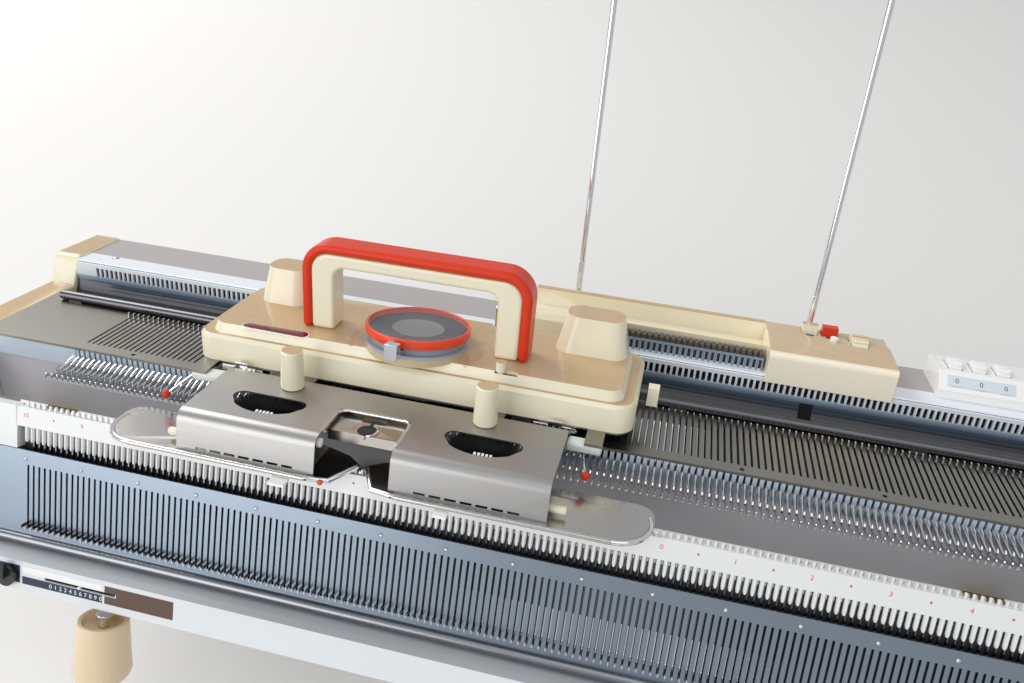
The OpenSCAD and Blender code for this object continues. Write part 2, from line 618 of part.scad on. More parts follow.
// handle: cream frame with a red grip over its outer side
grip_t = 7;
module arch(w, h, r) { translate([-w / 2, 0]) square([w, h - r]); translate([-w / 2 + r, 0])
    square([w - 2 * r, h]);
    for (s = [-1, 1]) translate([s * (w / 2 - r), h - r]) circle(r); }
module handle_frame() color("beige") in_carriage()
    translate([handle_x, handle_y + handle_d / 2, panel_z]) rotate([90, 0, 0])
    linear_extrude(handle_d) difference() {
        arch(handle_w - 2 * grip_t, handle_h - grip_t, 14);
        translate([0, -1]) arch(handle_w - 2 * leg_w, handle_h - 2 * grip_t - 2, 8);
    }
module handle_grip() color("orangered") in_carriage()
    translate([handle_x, handle_y + handle_d / 2 + 1, panel_z]) rotate([90, 0, 0])
    linear_extrude(handle_d + 2) difference() {
        arch(handle_w, handle_h, 21);
        translate([0, -1]) arch(handle_w - 2 * grip_t, handle_h - grip_t + 1, 14);
    }

// stitch dial over the cam lever's ring, both leaning back on the cover's round base
ring_lift = 5;
dial_floor = 3;
module cam_lever() color("silver") in_dial() translate([0, 0, 0.1]) difference() {
    union() {
        cylinder(d = dial_d - 8, h = 4.6);
        rotate(-94) translate([20, -4, 0]) cube([dial_d / 2 - 9, 8, 4.6]);
        rotate(-94) translate([dial_d / 2 + 4, -4.5, 0]) cube([7, 9, 11]);
    }
    translate([0, 0, -1]) cylinder(d = 10 + fit, h = 10);
}
module stitch_dial() color("orangered") in_dial() translate([0, 0, ring_lift]) difference() {
    union() {
        cylinder(d = dial_d - 1.5, h = 1.6);
        translate([0, 0, 1.5]) cylinder(d = dial_d, h = ring_h - 2.3);
        translate([0, 0, ring_h - 0.9]) cylinder(d1 = dial_d, d2 = dial_d - 1.4, h = 0.9);
    }
    translate([0, 0, dial_floor]) cylinder(d = dial_d - 2 * ring_rim - 1.4, h = ring_h);
    translate([0, 0, -1]) cylinder(d = 10 + fit, h = dial_floor + 2);
}
module dial_lens() color("lightcyan", 0.4) in_dial() translate([0, 0, ring_lift + dial_floor]) {
    cylinder(d = dial_d - 2 * ring_rim - 1.6, h = ring_h - dial_floor - 0.6);
    translate([0, 0, ring_h - dial_floor - 0.7])
        cylinder(d1 = dial_d - 2 * ring_rim - 1.6, d2 = dial_d - 2 * ring_rim - 5, h = 1);
}
module cover_button() color("beige") in_carriage() translate([button_slot_x + 4, button_slot_y, 0]) {
    translate([0, 0, panel_z + 0.1]) cylinder(d = 7, h = 7);
    translate([-1.4, -1.3, panel_z - 5]) cube([2.8, 2.6, 5.2]);
}
module yarn_pin() color("silver") in_carriage() translate([pin_x, pin_y, cp_z1 + 10]) {
    cylinder(d = pin_d, h = panel_z + 14 - cp_z1 - 10);
    translate([0, 0, panel_z + 14 - cp_z1 - 10]) sphere(d = pin_d);
}
// moulded screw that clamps the sinker plate to the carriage's arm
module thumb_screw(x) color("beige") in_carriage() translate([x, thumb_y, 0]) {
    translate([0, 0, box_z + 0.1]) cylinder(d1 = thumb_d + 1, d2 = thumb_d - 0.5, h = panel_z - box_z + 2.5);
    translate([0, 0, cp_z - 3]) cylinder(d = 5, h = box_z - cp_z + 3.2);
}
module left_thumb_screw() thumb_screw(thumb_x[0]);
module right_thumb_screw() thumb_screw(thumb_x[1]);

// spring catches at the front corners
release_x = [-122, 108];
release_y = car_y0 + 9;
module release_lever(x) color("silver") in_carriage() translate([x, release_y, 0]) {
    difference() {
        flat_at(cp_z - 1.8, 1.5) polygon([[-7, -5], [-14, -13], [14, -13], [16, -11], [7, 5], [-7, 5]]);
        translate([0, 0, cp_z - 3]) cylinder(d = 4 + fit, h = 4);
    }
    translate([-14, -14.5, cp_z - 1.8]) cube([26, 1.5, 4.5]);
    translate([-4, -14.5, cp_z - 1.8]) cube([10, 1.5, 8]);
}
module left_release_lever() release_lever(release_x[0]);
module right_release_lever() release_lever(release_x[1]);

// lever at the carriage's right end
side_x = carriage_w / 2;
side_y = car_y0 + 40;
side_z = cp_z1 + 6;
module side_lever() color("beige") in_carriage() translate([side_x + run, side_y, side_z]) {
    rotate([0, 90, 0]) difference() { cylinder(d = 9, h = 5); translate([0, 0, -1])
        cylinder(d = 4 + fit, h = 7); }
    translate([5, -4, 0]) cube([8, 8, 14]);
    translate([0, -3, 3]) cube([6, 6, 6]);
}

// folded sheet cover of the sinker plate: two hoods joined by a strip along the back
cut_y = box_y1 - 26;
module hood_sheet(x0, x1) along_x(x0, x1) difference() {
    polygon(concat([[box_y1, box_z], [box_y0 + 8, box_z]], arc([box_y0 + 8, box_z - 8], 8, 90, 172, 5),
        [[box_y0 - 3, wing_z + wing_t]], [[box_y0 - 3 + sheet, wing_z + wing_t]],
        arc([box_y0 + 8, box_z - 8], 8 - sheet, 172, 90, 5), [[box_y1, box_z - sheet]]));
}
hood_x = [-(box_gap + left_box_w) / 2, (box_gap + right_box_w) / 2];
// crescent window: straight towards the back, bowed towards the front, with round ends
module crescent() polygon(concat(arc([19.5, 3], 6.5, 90, -50), arc([0, 21], 35, -56, -124, 10),
    arc([-19.5, 3], 6.5, 230, 90)));
module sinker_cover() color("darkgray") in_sinker() {
    difference() {
        union() {
            hood_sheet(-box_gap / 2 - left_box_w, -box_gap / 2);
            hood_sheet(box_gap / 2, box_gap / 2 + right_box_w);
        }
        for (x = hood_x) translate([x, brush_y + 3, box_z - 3]) linear_extrude(5) crescent();
        for (x = hood_x, i = [0:6]) translate([x - 34 + i * 10, box_y0 - 6, wing_z + wing_t + 1.5])
            cube([7.5, 8, 1.6]);
        for (x = thumb_x) translate([x - sinker_x, thumb_y, box_z - 3]) cylinder(d = 5 + fit, h = 5);
    }
    flat_at(box_z - sheet, sheet) translate([-box_gap / 2, cut_y]) square([box_gap, box_y1 - cut_y]);
}
brush_y = box_y0 + 28;
brush_z = shank_z0 + 5.5;

// lower plate: a boat-shaped wing on each side with a rolled front edge
wing_y0 = box_y0 - 8;
wing_y1 = box_y0 + 36;
tip_r = 24;
heel_r = 12;
module wing(reach, x) {
    flat_at(wing_z, wing_t) polygon(concat([[2, wing_y0 + 26], [14, wing_y0 + 4]],
        arc([30, wing_y0 + 8], 8, 220, 270, 3),
        arc([reach - tip_r, wing_y0 + tip_r], tip_r, 270, 360),
            arc([reach - heel_r, wing_y1 - heel_r], heel_r, 0, 90),
        [[44, wing_y1], [12, wing_y0 + 34]]));
    translate([30, wing_y0 + 1.5, wing_z + wing_t / 2]) rotate([0, 90, 0])
        cylinder(d = 3.4, h = reach - tip_r - 30, $fn = 24);
    translate([x, brush_y, wing_z + wing_t - 0.1]) cylinder(d = 4, h = brush_z + 9 - wing_z - wing_t);
}
module sinker_wings() color("silver") in_sinker() {
    mirror([1, 0, 0]) wing(left_wing, -hood_x[0]);
    wing(right_wing, hood_x[1]);
}
// round brush that keeps the yarn down
module brush_wheel(x) color("black") in_sinker() translate([x, brush_y, 0]) {
    difference() {
        union() {
            translate([0, 0, brush_z]) cylinder(d = brush_d, h = 7);
            translate([0, 0, wing_z + wing_t + run]) cylinder(d = 12, h = brush_z + 8 - wing_z - wing_t - run);
        }
        translate([0, 0, wing_z]) cylinder(d = 4 + fit, h = 30);
    }
}
module left_brush_wheel() brush_wheel(hood_x[0]);
module right_brush_wheel() brush_wheel(hood_x[1]);
// yarn feeder between the two hoods
// a dropped plate with a T-shaped yarn slot, a turned-down lip and a tapered eye
feeder_z = box_z - 5;
feeder_y0 = cut_y - 20;
eye_h = 9;
module yarn_feeder() color("silver") in_sinker() {
    difference() {
        union() {
            flat_at(feeder_z, sheet) translate([-box_gap / 2, feeder_y0])
                square([box_gap, cut_y + 6 - feeder_y0]);
            translate([-box_gap / 2, feeder_y0 - sheet, feeder_z - 6]) cube([box_gap, sheet, 6 + sheet]);
            translate([-box_gap / 2, cut_y + 6 - sheet, feeder_z])
                cube([box_gap, sheet, box_z - sheet - feeder_z]);
            translate([0, feeder_y0 + 6, feeder_z - eye_h]) cylinder(d1 = 5, d2 = 13, h = eye_h + sheet);
        }
        translate([0, feeder_y0 + 6, feeder_z - eye_h - 0.1])
            cylinder(d1 = 3, d2 = 11, h = eye_h + sheet + 0.2);
        translate([-8, cut_y - 2, feeder_z - 1]) cube([16, 2.4, 4]);
        translate([-1.2, cut_y - 9, feeder_z - 1]) cube([2.4, 8, 4]);
    }
}

// rib bed's white channel, which hangs in front of the needle bed
module rib_base() color("white") in_rib() {
    difference() {
        along_x(-half_base, half_base) polygon([[-24, -rib_back], [face_y0, -rib_back],
            [face_y0, rail_proud], [ledge_y, rail_proud],
            [ledge_y, -plate_t - 1], [ledge_y - 1.8, -plate_t - 1], [ledge_y - 1.8, rail_proud - 1.8],
            [face_y0 + 1.8, rail_proud - 1.8], [face_y0 + 1.8, -rib_back + 1.8], [-24, -rib_back + 1.8]]);
        translate([pointer_x - 28, face_y0 + 12, rail_proud - 5]) cube([56, 2.4, 10]);
        translate([crank_x, face_y0 - 2, crank_z]) rotate([-90, 0, 0]) cylinder(d = 8 + fit, h = 6);
    }
    translate([half_x, face_y0 + 11, rail_proud - 0.1]) cylinder(d = 4, h = 3.1);
}
pointer_x = crank_x - 18;
// slotted steel plate of the rib bed
module rib_plate() color("lightsteelblue") in_rib() {
    flat_at(-plate_t, plate_t) difference() {
        translate([-half_rib, rib_plate_y0]) square([2 * half_rib, rib_plate_d - seat]);
        slots(rib_plate_y0 + 13, rib_plate_y1 - 11);
    }
}
// dark floor that the rib needles slide on
module rib_channel() color("dimgray") in_rib() along_x(-half_rib, half_rib) polygon([
    [rib_plate_y0 + 2, -plate_t], [rib_plate_y0 + 2, -rib_back + 1.8 + run],
        [-26, -rib_back + 1.8 + run], [rib_top - 6, -12], [rib_top - 6, -7.6],
    [rib_plate_y0 + 8, -7.6], [rib_plate_y0 + 8, -plate_t]]);
// white comb: a numbered strip above its fingers and a row of short pegs along the top edge
comb_x1 = half_field + 8;
block_t = 7.6;
peg_w = 1.3;
module rib_comb() color("white") in_rib() {
    flat_at(-4, 4) difference() {
        translate([-comb_x1, finger_y0]) square([2 * comb_x1, rib_top - finger_y0]);
        slots(finger_y0 - 1, finger_y1);
    }
    for (s = [0, 1]) mirror([s, 0, 0]) translate([comb_x1 - 1, rib_plate_y1 + seat, -block_t])
        cube([half_rib - comb_x1 + 1, rib_top - rib_plate_y1 - seat, block_t]);
    flat_at(-3, 1.2) for (i = [0:needle_count]) translate([gap_x(i) - peg_w / 2, rib_top - 1])
        square([peg_w, 4.5]);
}
// rib needle: its butt stands out through the plate at the slot's lower end
rib_butt_y = rib_plate_y0 + 17;
module rib_needle() rotate([90, 0, 90]) translate([0, 0, -needle_t / 2]) linear_extrude(needle_t) polygon([
    [rib_plate_y0 + 12, -7.4], [rib_top - 4, -7.4], [rib_top, -6.6], [rib_top + 2, -5], [rib_top + 1.4, -4.1],
    [rib_top - 0.6, -4.4], [rib_top - 1, -5.2], [rib_top - 12, -5.2], [rib_top - 22, -4.6],
        [rib_butt_y + 1.2, -4.8], [rib_butt_y + 1.2, 8], [rib_butt_y - 1.2, 8], [rib_butt_y - 1.2, -4.8],
        [rib_plate_y0 + 12, -4.8]]);
module rib_needles() color("silver") in_rib() for (i = [0:needle_count - 1])
    translate([needle_x(i), 0, 0]) rib_needle();
// rolled half-round rail along the plate's lower edge
module rib_front_rail() color("silver") in_rib() translate([-half_rib, rib_plate_y0 + 4, 0]) rotate([90, 0, 90])
    linear_extrude(2 * half_rib) intersection() { circle(4); translate([-4, 0]) square([8, 4]); }
// white pointer carried by the plate, seen through the slot in the base's face
module rack_pointer() color("white") in_rib() along_x(pointer_x - 1, pointer_x + 1) polygon([
    [rib_plate_y0 + 1.6, -plate_t], [rib_plate_y0 + 1.6, -plate_t - 4], [face_y0 + 12.5, -plate_t - 4],
        [face_y0 + 12.5, rail_proud + 0.8],
    [face_y0 + 14, rail_proud + 0.8], [face_y0 + 14, -plate_t - 2.4],
        [rib_plate_y0 - 0.2, -plate_t - 2.4], [rib_plate_y0 - 0.2, -plate_t]]);
// half-pitch lever at the left end of the base's face
half_x = -half_field + 3;
module half_pitch_lever() color("black") in_rib() translate([half_x, face_y0 + 11, rail_proud + 0.2]) {
    difference() {
        cylinder(d = 15, h = 4);
        translate([0, 0, -1]) cylinder(d = 4 + fit, h = 4.2);
    }
    translate([-2, 0, 3.9]) cube([4, 11, 4]);
}
// crank under the base that racks the rib bed sideways
module racking_crank() color("silver") in_rib() translate([crank_x, face_y0, crank_z]) rotate([90, 0, 0]) {
    translate([0, 0, -8]) cylinder(d = 8, h = 12);
    translate([0, 0, 3.9]) linear_extrude(3) union() { circle(7); crank_arm(); }
    translate([0, crank_r, 3.9]) cylinder(d = 6, h = 3 + knob_h - 8);
}
module crank_arm() { translate([-5, 0]) square([10, crank_r]); translate([0, crank_r]) circle(5); }
module racking_knob() color("beige") in_rib() translate([crank_x, face_y0 - 7.4, crank_z + crank_r])
    rotate([90, 0, 0])
    rotate_extrude() polygon([[3 + fit / 2, 6], [3 + fit / 2, knob_h - 5], [0, knob_h - 5], [0, knob_h],
        [knob_d / 2 - 6, knob_h], [knob_d / 2 - 1.5, knob_h - 2],
        [knob_d / 2, knob_h - 6], [knob_d / 2 - 3, 0], [knob_d / 2 - 5.5, 0], [knob_d / 2 - 7, 5], [8, 6]]);

// end plates that hang the rib bed from the needle bed
module rib_brackets() color("lightgray") for (s = [-1, 1]) in_bed() {
    x0 = s < 0 ? -half_base - 3 : half_base;
    along_x(x0, x0 + 3) polygon(bracket_points);
}
function from_rib(p) = [p[0] * cos(rib_angle) - p[1] * sin(rib_angle), p[0] * sin(rib_angle) + p[1] * cos(rib_angle)];
bracket_points = concat([[comb_y + 30, base_z - 1.5], [comb_y + 30, base_z], [comb_y + comb_t, base_z],
    [comb_y, floor_z - 9],
    [peg_y + 4, floor_z - 10]], [for (p = [[rib_top - 2, -16], [rib_top - 2, 2], [-30, 2],
        [ledge_y + 4, 2], [face_y0, rail_proud], [face_y0, -rib_back]]) from_rib(p)]);

base_tray();
bed_plate();
needle_channel();
gate_pegs();
main_needles();
carriage_rail();
rear_channel();
rear_cover();
end_caps();
rear_feet();
bed_stands();
yarn_masts();
card_tray();
selector_plates();
card_housing();
card_stop_lever();
card_lock_lever();
card_button();
feed_wheel();
counter_case();
counter_wheel_hundreds();
counter_wheel_tens();
counter_wheel_units();
carriage_plate();
front_runners();
carriage_cams();
left_drum();
right_drum();
carriage_cover();
handle_frame();
handle_grip();
cam_lever();
stitch_dial();
dial_lens();
cover_button();
yarn_pin();
left_thumb_screw();
right_thumb_screw();
left_release_lever();
right_release_lever();
side_lever();
sinker_cover();
sinker_wings();
left_brush_wheel();
right_brush_wheel();
yarn_feeder();
rib_base();
rib_plate();
rib_channel();
rib_comb();
rib_needles();
rib_front_rail();
rack_pointer();
half_pitch_lever();
racking_crank();
racking_knob();
rib_brackets();
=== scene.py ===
"""Looks of a flat knitting machine: a needle bed with card unit and carriage, and a rib bed
hung in front of it. Lengths are written in millimetres in the bed frame: X along the beds,
Y towards the back in the plane of the needle bed and Z square to it."""

import json

import bmesh
import bpy
import numpy as np
from mathutils import Matrix, Vector

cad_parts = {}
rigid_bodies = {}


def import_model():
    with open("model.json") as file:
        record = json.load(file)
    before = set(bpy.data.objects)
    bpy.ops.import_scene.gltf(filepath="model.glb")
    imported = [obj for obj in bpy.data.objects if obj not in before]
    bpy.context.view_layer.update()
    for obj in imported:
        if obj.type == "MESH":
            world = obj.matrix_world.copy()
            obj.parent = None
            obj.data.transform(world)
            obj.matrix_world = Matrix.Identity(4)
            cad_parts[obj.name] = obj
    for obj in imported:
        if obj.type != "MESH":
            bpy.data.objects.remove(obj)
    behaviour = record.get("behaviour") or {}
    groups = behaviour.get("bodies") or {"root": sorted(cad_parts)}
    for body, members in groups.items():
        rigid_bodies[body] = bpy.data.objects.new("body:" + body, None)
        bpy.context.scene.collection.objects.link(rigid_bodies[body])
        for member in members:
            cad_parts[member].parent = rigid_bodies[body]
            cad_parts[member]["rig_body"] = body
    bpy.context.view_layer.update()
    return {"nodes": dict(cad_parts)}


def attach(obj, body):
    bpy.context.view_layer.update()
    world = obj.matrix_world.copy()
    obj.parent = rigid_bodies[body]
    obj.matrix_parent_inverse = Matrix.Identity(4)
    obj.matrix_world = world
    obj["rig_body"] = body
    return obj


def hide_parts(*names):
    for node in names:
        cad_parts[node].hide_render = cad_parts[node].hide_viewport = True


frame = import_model()
scene = bpy.context.scene

# Case
# A tray and a rear cover folded from sheet steel and enamelled pale grey, with moulded cream
# caps on the ends. Rubber wedges under the back and angles of yellow plated steel under the
# front carry it, and domed steel screws hold the cover down.

# The bed frame: it leans by the bed's tilt and stands on the rear feet's lower edge.
BED_TILT = np.radians(18)
FOOT_Y, FOOT_Z = 214.0, -32.0
FOOT_HIGH, FOOT_DEEP = 3.5, 22.0
cos_t, sin_t = np.cos(BED_TILT), np.sin(BED_TILT)
foot_y = FOOT_Y * cos_t + FOOT_Z * sin_t
foot_z = -FOOT_Y * sin_t + FOOT_Z * cos_t
foot_drop = FOOT_HIGH + FOOT_DEEP / 2 * np.tan(BED_TILT)
BED = (Matrix.Scale(0.001, 4) @ Matrix.Translation((0, -foot_y, foot_drop - foot_z))
       @ Matrix.Rotation(-BED_TILT, 4, "X"))


class Value:
    """A number that changes over a surface; each operator adds its Math node."""

    def __init__(self, look, socket):
        self.look, self.socket = look, socket

    def math(self, operation, a, b=0.0):
        node = self.look.node("ShaderNodeMath", {"operation": operation}, {0: a, 1: b})
        return Value(self.look, node.outputs[0])

    def __add__(self, other):
        return self.math("ADD", self, other)

    def __sub__(self, other):
        return self.math("SUBTRACT", self, other)

    def __rsub__(self, other):
        return self.math("SUBTRACT", other, self)

    def __mul__(self, other):
        return self.math("MULTIPLY", self, other)

    def __gt__(self, other):
        return self.math("GREATER_THAN", self, other)

    def __lt__(self, other):
        return self.math("LESS_THAN", self, other)

    def __mod__(self, other):
        return self.math("FLOORED_MODULO", self, other)

    def __abs__(self):
        return self.math("ABSOLUTE", self)

    def root(self):
        return self.math("SQRT", self)

    __radd__ = __add__
    __rmul__ = __mul__


class Look:
    """One finish: a material whose sockets take numbers, colours or Values."""

    def __init__(self, name, colour, rough, metal=0.0, coat=0.0):
        self.material = bpy.data.materials.new(name)
        self.material.use_nodes = True
        self.tree = self.material.node_tree
        self.surface = self.tree.nodes["Principled BSDF"]
        self.colour = colour
        self.set(Base_Color=(*colour, 1), Roughness=rough, Metallic=metal, Coat_Weight=coat)

    def node(self, kind, settings=None, sockets=None):
        """Adds a node: its settings first, then the values or links of its sockets."""
        node = self.tree.nodes.new(kind)
        for key, value in (settings or {}).items():
            if key == "stops":
                ramp = node.color_ramp.elements
                while len(ramp) < len(value):
                    ramp.new(0.5)
                for stop, (place, shade) in zip(ramp, value):
                    stop.position, stop.color = place, (*shade, 1)
            else:
                setattr(node, key, value)
        for key, value in (sockets or {}).items():
            self.join(node.inputs[key], value)
        return node

    def join(self, socket, value):
        """Links a Value or a socket, or writes a plain value."""
        if isinstance(value, Value):
            self.tree.links.new(value.socket, socket)
        elif isinstance(value, bpy.types.NodeSocket):
            self.tree.links.new(value, socket)
        else:
            socket.default_value = value

    def set(self, **sockets):
        """Sets sockets of the surface, with an underscore for each blank in a name."""
        for key, value in sockets.items():
            self.join(self.surface.inputs[key.replace("_", " ")], value)

    def place(self, matrix=BED):
        """The surface's own coordinates in the millimetres of the frame that matrix gives."""
        here = self.node("ShaderNodeTexCoord").outputs["Object"]
        back = matrix.inverted()
        return self.node("ShaderNodeMapping", {}, {
            "Vector": here, "Location": back.to_translation(), "Rotation": back.to_euler(),
            "Scale": (1000, 1000, 1000)}).outputs[0]

    def axes(self, matrix=BED):
        """X, Y and Z of that frame as three Values."""
        split = self.node("ShaderNodeSeparateXYZ", {}, {0: self.place(matrix)})
        return [Value(self, split.outputs[i]) for i in range(3)]

    def upward(self):
        """1 on the faces that look up from the bed, as mark_upward() marks them."""
        node = self.node("ShaderNodeAttribute", {"attribute_name": "upward"})
        return Value(self, node.outputs["Fac"])

    def noise(self, size, stretch=(1, 1, 1), detail=3.0):
        """Cloudy noise from 0 to 1: place / (size * stretch) goes in, so that its features
        are about size millimetres across and longer where stretch is more than 1."""
        scaled = self.node("ShaderNodeVectorMath", {"operation": "MULTIPLY"}, {
            0: self.place(), 1: [1 / (size * s) for s in stretch]})
        return Value(self, self.node("ShaderNodeTexNoise", {}, {
            "Vector": scaled.outputs[0], "Scale": 1.0, "Detail": detail}).outputs["Fac"])

    def tint(self, factor, shade, base=None):
        """The colour base * (1 - factor) + shade * factor; base is the finish's own colour
        unless one is given."""
        mix = self.node("ShaderNodeMix", {"data_type": "RGBA"}, {0: factor})
        self.join(mix.inputs[6], base if base is not None else (*self.colour, 1))
        self.join(mix.inputs[7], (*shade, 1))
        return mix.outputs[2]

    def bump(self, height, depth):
        """Raises the surface by height times depth millimetres."""
        self.set(Normal=self.node("ShaderNodeBump", {}, {
            "Height": height, "Distance": depth / 1000, "Strength": 1.0}).outputs[0])


def painted(name, colour, rough):
    """Stove enamel: clouds 60 mm across darken it by up to 2 percent, and a 3 mm orange peel
    changes its gloss."""
    look = Look(name, colour, rough, coat=0.3)
    peel = look.noise(3.0)
    look.set(Base_Color=look.tint(look.noise(60) * 0.12, tuple(c * 0.8 for c in colour)),
             Roughness=peel * 0.1 + (rough - 0.05))
    look.bump(peel, 0.03)
    return look


def weld(mesh):
    """Merges a CAD copy's loose triangles and joins those of one plane into one face."""
    build = bmesh.new()
    build.from_mesh(mesh)
    bmesh.ops.remove_doubles(build, verts=build.verts, dist=1e-6)
    bmesh.ops.dissolve_limit(build, angle_limit=0.02, verts=build.verts, edges=build.edges)
    build.to_mesh(mesh)
    build.free()


def mark_upward(mesh):
    """Stores on each face (rise - 0.8) / 0.15, kept between 0 and 1, where rise is the cosine
    of the angle between its normal and the bed's: 0 at 37 degrees and 1 below 18."""
    normals = np.empty(3 * len(mesh.polygons))
    mesh.polygons.foreach_get("normal", normals)
    rise = normals.reshape(-1, 3) @ np.array(BED.to_3x3().normalized().col[2])
    mesh.attributes.new("upward", "FLOAT", "FACE").data.foreach_set(
        "value", np.clip((rise - 0.8) / 0.15, 0, 1))


def dress(piece, look, crease=None):
    """Gives a piece its material, and smooth shading below the crease angle."""
    piece.data.materials.clear()
    piece.data.materials.append(look.material)
    if crease:
        piece.data.shade_smooth()
        piece.data.set_sharp_from_angle(angle=np.radians(crease))


def softened(node, look, width, segments=2):
    """A copy of the CAD piece with its edges rounded to width millimetres, in its place."""
    source = frame["nodes"][node]
    mesh = source.data.copy()
    mesh.materials.clear()
    weld(mesh)
    mark_upward(mesh)
    piece = bpy.data.objects.new(node + "_finished", mesh)
    scene.collection.objects.link(piece)
    edge = piece.modifiers.new("edge", "BEVEL")
    edge.width, edge.segments, edge.limit_method = width / 1000, segments, "ANGLE"
    edge.angle_limit, edge.harden_normals = np.radians(32), False
    edge.use_clamp_overlap = True
    dress(piece, look, 32)
    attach(piece, source["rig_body"])
    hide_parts(node)
    return piece


enamel = painted("pale_enamel", (0.56, 0.54, 0.56), 0.3)
softened("base_tray", enamel, 0.6)

# The cover's slope in front of the fold is painted nearly white as a painted highlight where it
# faces the light, and the rest is painted a darker grey than the tray as painted shade.
FOLD_Y = 186.0
cover_enamel = painted("cover_enamel", (0.44, 0.40, 0.40), 0.3)
lit_slope = cover_enamel.axes()[1] < FOLD_Y
cover_enamel.set(Base_Color=cover_enamel.tint(lit_slope, (0.84, 0.88, 0.93)))
softened("rear_cover", cover_enamel, 0.8)


def moulded(name, colour, rough=0.22, coat=0.25, top_shade=None):
    """Glossy moulded plastic, slightly uneven in gloss. The colour given last, if any, is a tan
    painted shade: upward faces are tinted towards it by 0.8 to 1 of the way, standing in for the
    dim light and brown reflection on top faces."""
    look = Look(name, colour, rough, coat=coat)
    haze = look.noise(9.0)
    base = look.tint(haze * 0.1, tuple(c * 0.85 for c in colour))
    if top_shade:
        base = look.tint(look.upward() * (haze * 0.2 + 0.8), top_shade, base)
    look.set(Base_Color=base, Roughness=haze * 0.12 + (rough - 0.06))
    look.bump(haze, 0.02)
    return look


# Painted shade: the cream's upward faces are tinted tan, standing in for the dim light and brown
# reflection on tops.
cream = moulded("cream_plastic", (0.87, 0.81, 0.61), top_shade=(0.54, 0.36, 0.18))
softened("end_caps", cream, 1.5, 3)
rubber = Look("foot_rubber", (0.03, 0.03, 0.03), 0.8)
softened("rear_feet", rubber, 0.6)


def brushed(name, colour, rough, size=0.5, depth=0.004):
    """Bare metal with a grain size millimetres wide and 30 times as long, along the beds."""
    look = Look(name, colour, rough, metal=1.0)
    grain = look.noise(size, (30, 1, 1), 4.0)
    look.set(Base_Color=look.tint(grain * 0.35, tuple(c * 0.7 for c in colour)),
             Roughness=grain * 0.18 + (rough - 0.09))
    look.bump(grain, depth)
    return look


zinc = brushed("yellow_zinc", (0.62, 0.50, 0.20), 0.35)
softened("bed_stands", zinc, 0.4)


def skin(rows, columns, ring=True, capped=True):
    """Faces over a grid of rows by columns points: the quad at (i, j) joins the points (i, j),
    (i, j + 1), (i + 1, j + 1) and (i + 1, j). ring joins the last column to the first, and
    capped closes the first and last rows with one face each."""
    i, j = np.meshgrid(np.arange(rows - 1), np.arange(columns if ring else columns - 1),
                       indexing="ij")
    k = (j + 1) % columns
    faces = np.stack([i * columns + j, i * columns + k, (i + 1) * columns + k,
                      (i + 1) * columns + j], -1).reshape(-1, 4).tolist()
    if ring and capped:
        faces += [list(range(columns))[::-1], list(range((rows - 1) * columns, rows * columns))]
    return faces


def turned(profile, sides=24):
    """A profile of (radius, height) points turned about Z: x = radius * cos(turn),
    y = radius * sin(turn) and z = height. Its first and last rings are closed with a face."""
    profile = np.asarray(profile, float)
    turn = np.arange(sides) * 2 * np.pi / sides
    points = np.stack([profile[:, :1] * np.cos(turn), profile[:, :1] * np.sin(turn),
                       profile[:, 1:] + 0 * turn], -1).reshape(-1, 3)
    return points, skin(len(profile), sides)


def dome(radius, height, sides=12):
    """A screw's domed head: the quarter oval radius * cos(rise), height * sin(rise) turned
    about Z, with a small flat on top."""
    rise = np.linspace(0, np.pi / 2, 4)[:-1]
    quarter = np.c_[radius * np.cos(rise), height * np.sin(rise)]
    return turned(np.r_[quarter, [(0.12 * radius, height)]], sides)


def copies(points, faces, places):
    """The same small piece at every place: each point plus each place."""
    points, places = np.asarray(points, float), np.asarray(places, float)
    everywhere = (points[None] + places[:, None]).reshape(-1, 3)
    shifts = np.arange(len(places)) * len(points)
    return everywhere, [(np.asarray(face) + shift).tolist() for shift in shifts for face in faces]


def made(name, points, faces, look, body, slot, matrix=BED, smooth=True, replaces=()):
    """A new piece that rides on a body: matrix turns its points from the frame they are
    written in to the scene's metres."""
    place = np.array(matrix)
    flat = np.asarray(points, float).reshape(-1, 3) @ place[:3, :3].T + place[:3, 3]
    mesh = bpy.data.meshes.new(name)
    mesh.from_pydata(flat.tolist(), [], faces)
    mesh.validate()
    piece = bpy.data.objects.new(name, mesh)
    scene.collection.objects.link(piece)
    dress(piece, look, 40 if smooth else None)
    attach(piece, body)
    for node in replaces:
        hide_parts(node)
    return piece


COVER_TOP, SCREW_ROW, SCREW_R, SCREW_RISE = 50.0, 183.0, 3.2, 1.3
screw_places = [(x, SCREW_ROW, COVER_TOP) for x in (-505, -330, -215, 285, 420, 505)]
screw_steel = Look("screw_steel", (0.62, 0.62, 0.64), 0.25, metal=1.0)
made("cover_screws", *copies(*dome(SCREW_R, SCREW_RISE), screw_places), screw_steel, "machine",
     "needle_steel")

# Needle bed
# A plate of satin steel with 200 milled slots, screwed over a black channel block. In each slot
# lies a latch needle stamped and ground from steel wire, with a hook and latch in front and a
# bent butt that the carriage's cams push.
PITCH = 4.5
NEEDLES = 200
needle_x = (np.arange(NEEDLES) - (NEEDLES - 1) / 2) * PITCH
gap_x = (np.arange(NEEDLES + 1) - NEEDLES / 2) * PITCH


def paint(node, look):
    """Puts a finish on the CAD piece itself."""
    dress(frame["nodes"][node], look)


satin = brushed("satin_steel", (0.34, 0.325, 0.29), 0.34)
paint("bed_plate", satin)
dark = Look("channel_black", (0.035, 0.035, 0.04), 0.5)
paint("needle_channel", dark)


def outline(half_x, half_y, sides):
    """An oval section: x = half_x * cos(turn) and y = half_y * sin(turn), with its first
    corner half a step on."""
    turn = np.arange(sides) * 2 * np.pi / sides + np.pi / sides
    return np.stack([half_x * np.cos(turn), half_y * np.sin(turn)], -1)


